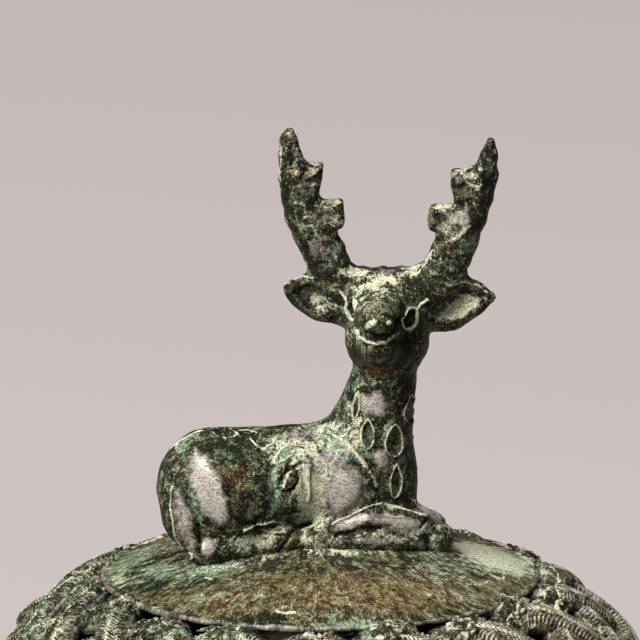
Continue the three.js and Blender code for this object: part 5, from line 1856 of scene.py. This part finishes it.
FINIAL_PIN_RADIUS = 2.2
FINIAL_PIN_TOP = CROWN_TOP + 11
WASHER_HOLE = 2.5
WASHER_RADIUS = 5.4
WASHER_EDGE = 0.2
WASHER_SHEET = 1.2
WASHER_GAP = 0.3
for name, (x, y) in FINIAL_SPOTS.items():
    ends = (x, y, BOSS_LEVEL - WASHER_SHEET - 2 * WASHER_GAP), (x, y, FINIAL_PIN_TOP)
    pin = rivet("finial_rivet_" + name + "_pin", *ends, FINIAL_PIN_RADIUS)
    settle(pin, DULL_BRONZE, "lid", "finial_rivet_" + name)
    top = BOSS_LEVEL - WASHER_GAP
    level = top - WASHER_SHEET
    ring_line = [(WASHER_HOLE, level), (WASHER_RADIUS - WASHER_EDGE, level)]
    ring_line += [(WASHER_RADIUS, level + WASHER_EDGE), (WASHER_RADIUS, top)]
    ring_line += [(WASHER_HOLE, top), (WASHER_HOLE, level)]
    washer = turned("finial_washer_" + name + "_disc", even(ring_line, 0.7)[:-1], 60)
    washer.data.transform(Matrix.Translation((x / 1000, y / 1000, 0)))
    settle(washer, DULL_BRONZE, "lid", "finial_washer_" + name)

# Stage
# A plain floor that runs out of sight behind the object, one broad soft lamp from the upper left in
# front, and a weaker one overhead.

floor_mesh = bpy.data.meshes.new("floor")
FLOOR_REACH = 8.0
FLOOR_LEVEL = -0.0005
corners = [(-FLOOR_REACH, -FLOOR_REACH), (FLOOR_REACH, -FLOOR_REACH)]
corners += [(FLOOR_REACH, FLOOR_REACH), (-FLOOR_REACH, FLOOR_REACH)]
floor_mesh.from_pydata([(x, y, FLOOR_LEVEL) for x, y in corners], [], [(0, 1, 2, 3)])
floor = bpy.data.objects.new("floor", floor_mesh)
bpy.context.scene.collection.objects.link(floor)
floor_paint = bpy.data.materials.new("floor paint")
floor_paint.use_nodes = True
floor_tree = floor_paint.node_tree
floor_shader = floor_tree.nodes["Principled BSDF"]
FLOOR_COLOUR = (0.2, 0.1785, 0.175, 1)
FLOOR_GLOW = 1.49
floor_shader.inputs["Base Color"].default_value = FLOOR_COLOUR
floor_shader.inputs["Roughness"].default_value = 0.9
floor_shader.inputs["Specular IOR Level"].default_value = 0.1
light_path = floor_tree.nodes.new("ShaderNodeLightPath")
seen = light_path.outputs["Is Camera Ray"]
for ray in ("Is Glossy Ray", "Is Transmission Ray"):
    seen = math_of(floor_tree, "ADD", seen, light_path.outputs[ray])
glow = times(floor_tree, seen, FLOOR_GLOW)
floor_shader.inputs["Emission Color"].default_value = FLOOR_COLOUR
floor_tree.links.new(glow, floor_shader.inputs["Emission Strength"])
floor_mesh.materials.append(floor_paint)

world = bpy.data.worlds.new("studio")
world.use_nodes = True
world_shader = world.node_tree.nodes["Background"]
world_shader.inputs["Color"].default_value = (0.56, 0.5, 0.49, 1)
world_shader.inputs["Strength"].default_value = 0.05
bpy.context.scene.world = world


def soft_lamp(name, azimuth, elevation, distance, size, power, tint):
    """A square soft lamp that looks at the lid from an angle round it and a height over it."""
    lamp = bpy.data.lights.new(name, "AREA")
    lamp.shape = "SQUARE"
    lamp.size = size
    lamp.energy = power
    lamp.color = tint
    made = bpy.data.objects.new(name, lamp)
    turn, lift = math.radians(azimuth), math.radians(elevation)
    flat = distance * math.cos(lift)
    made.location = (flat * math.sin(turn), -flat * math.cos(turn), distance * math.sin(lift) + 0.2)
    made.rotation_euler = (math.radians(90) - lift, 0, turn)
    bpy.context.scene.collection.objects.link(made)
    return made


LAMP_DISTANCE = 4.5
soft_lamp("key lamp", -48, 44, LAMP_DISTANCE, size=3.2, power=450, tint=(1.0, 0.96, 0.95))
soft_lamp("top lamp", 10, 84, LAMP_DISTANCE, size=2.0, power=130, tint=(1.0, 0.97, 0.96))

SENSOR_WIDTH = 36
camera_data = bpy.data.cameras.new("camera")
camera_data.sensor_width = SENSOR_WIDTH
camera_data.lens = SENSOR_WIDTH * VIEW_DISTANCE * PIXELS_PER_MM / PICTURE_SIZE
camera_data.clip_end = 60
camera = bpy.data.objects.new("camera", camera_data)
camera.location = (VIEW_TARGET - VIEW_IN * VIEW_DISTANCE) / 1000
camera.rotation_euler = (math.radians(90) - VIEW_TILT, 0, 0)
bpy.context.scene.collection.objects.link(camera)
bpy.context.scene.camera = camera
bpy.context.scene.view_settings.view_transform = "Standard"
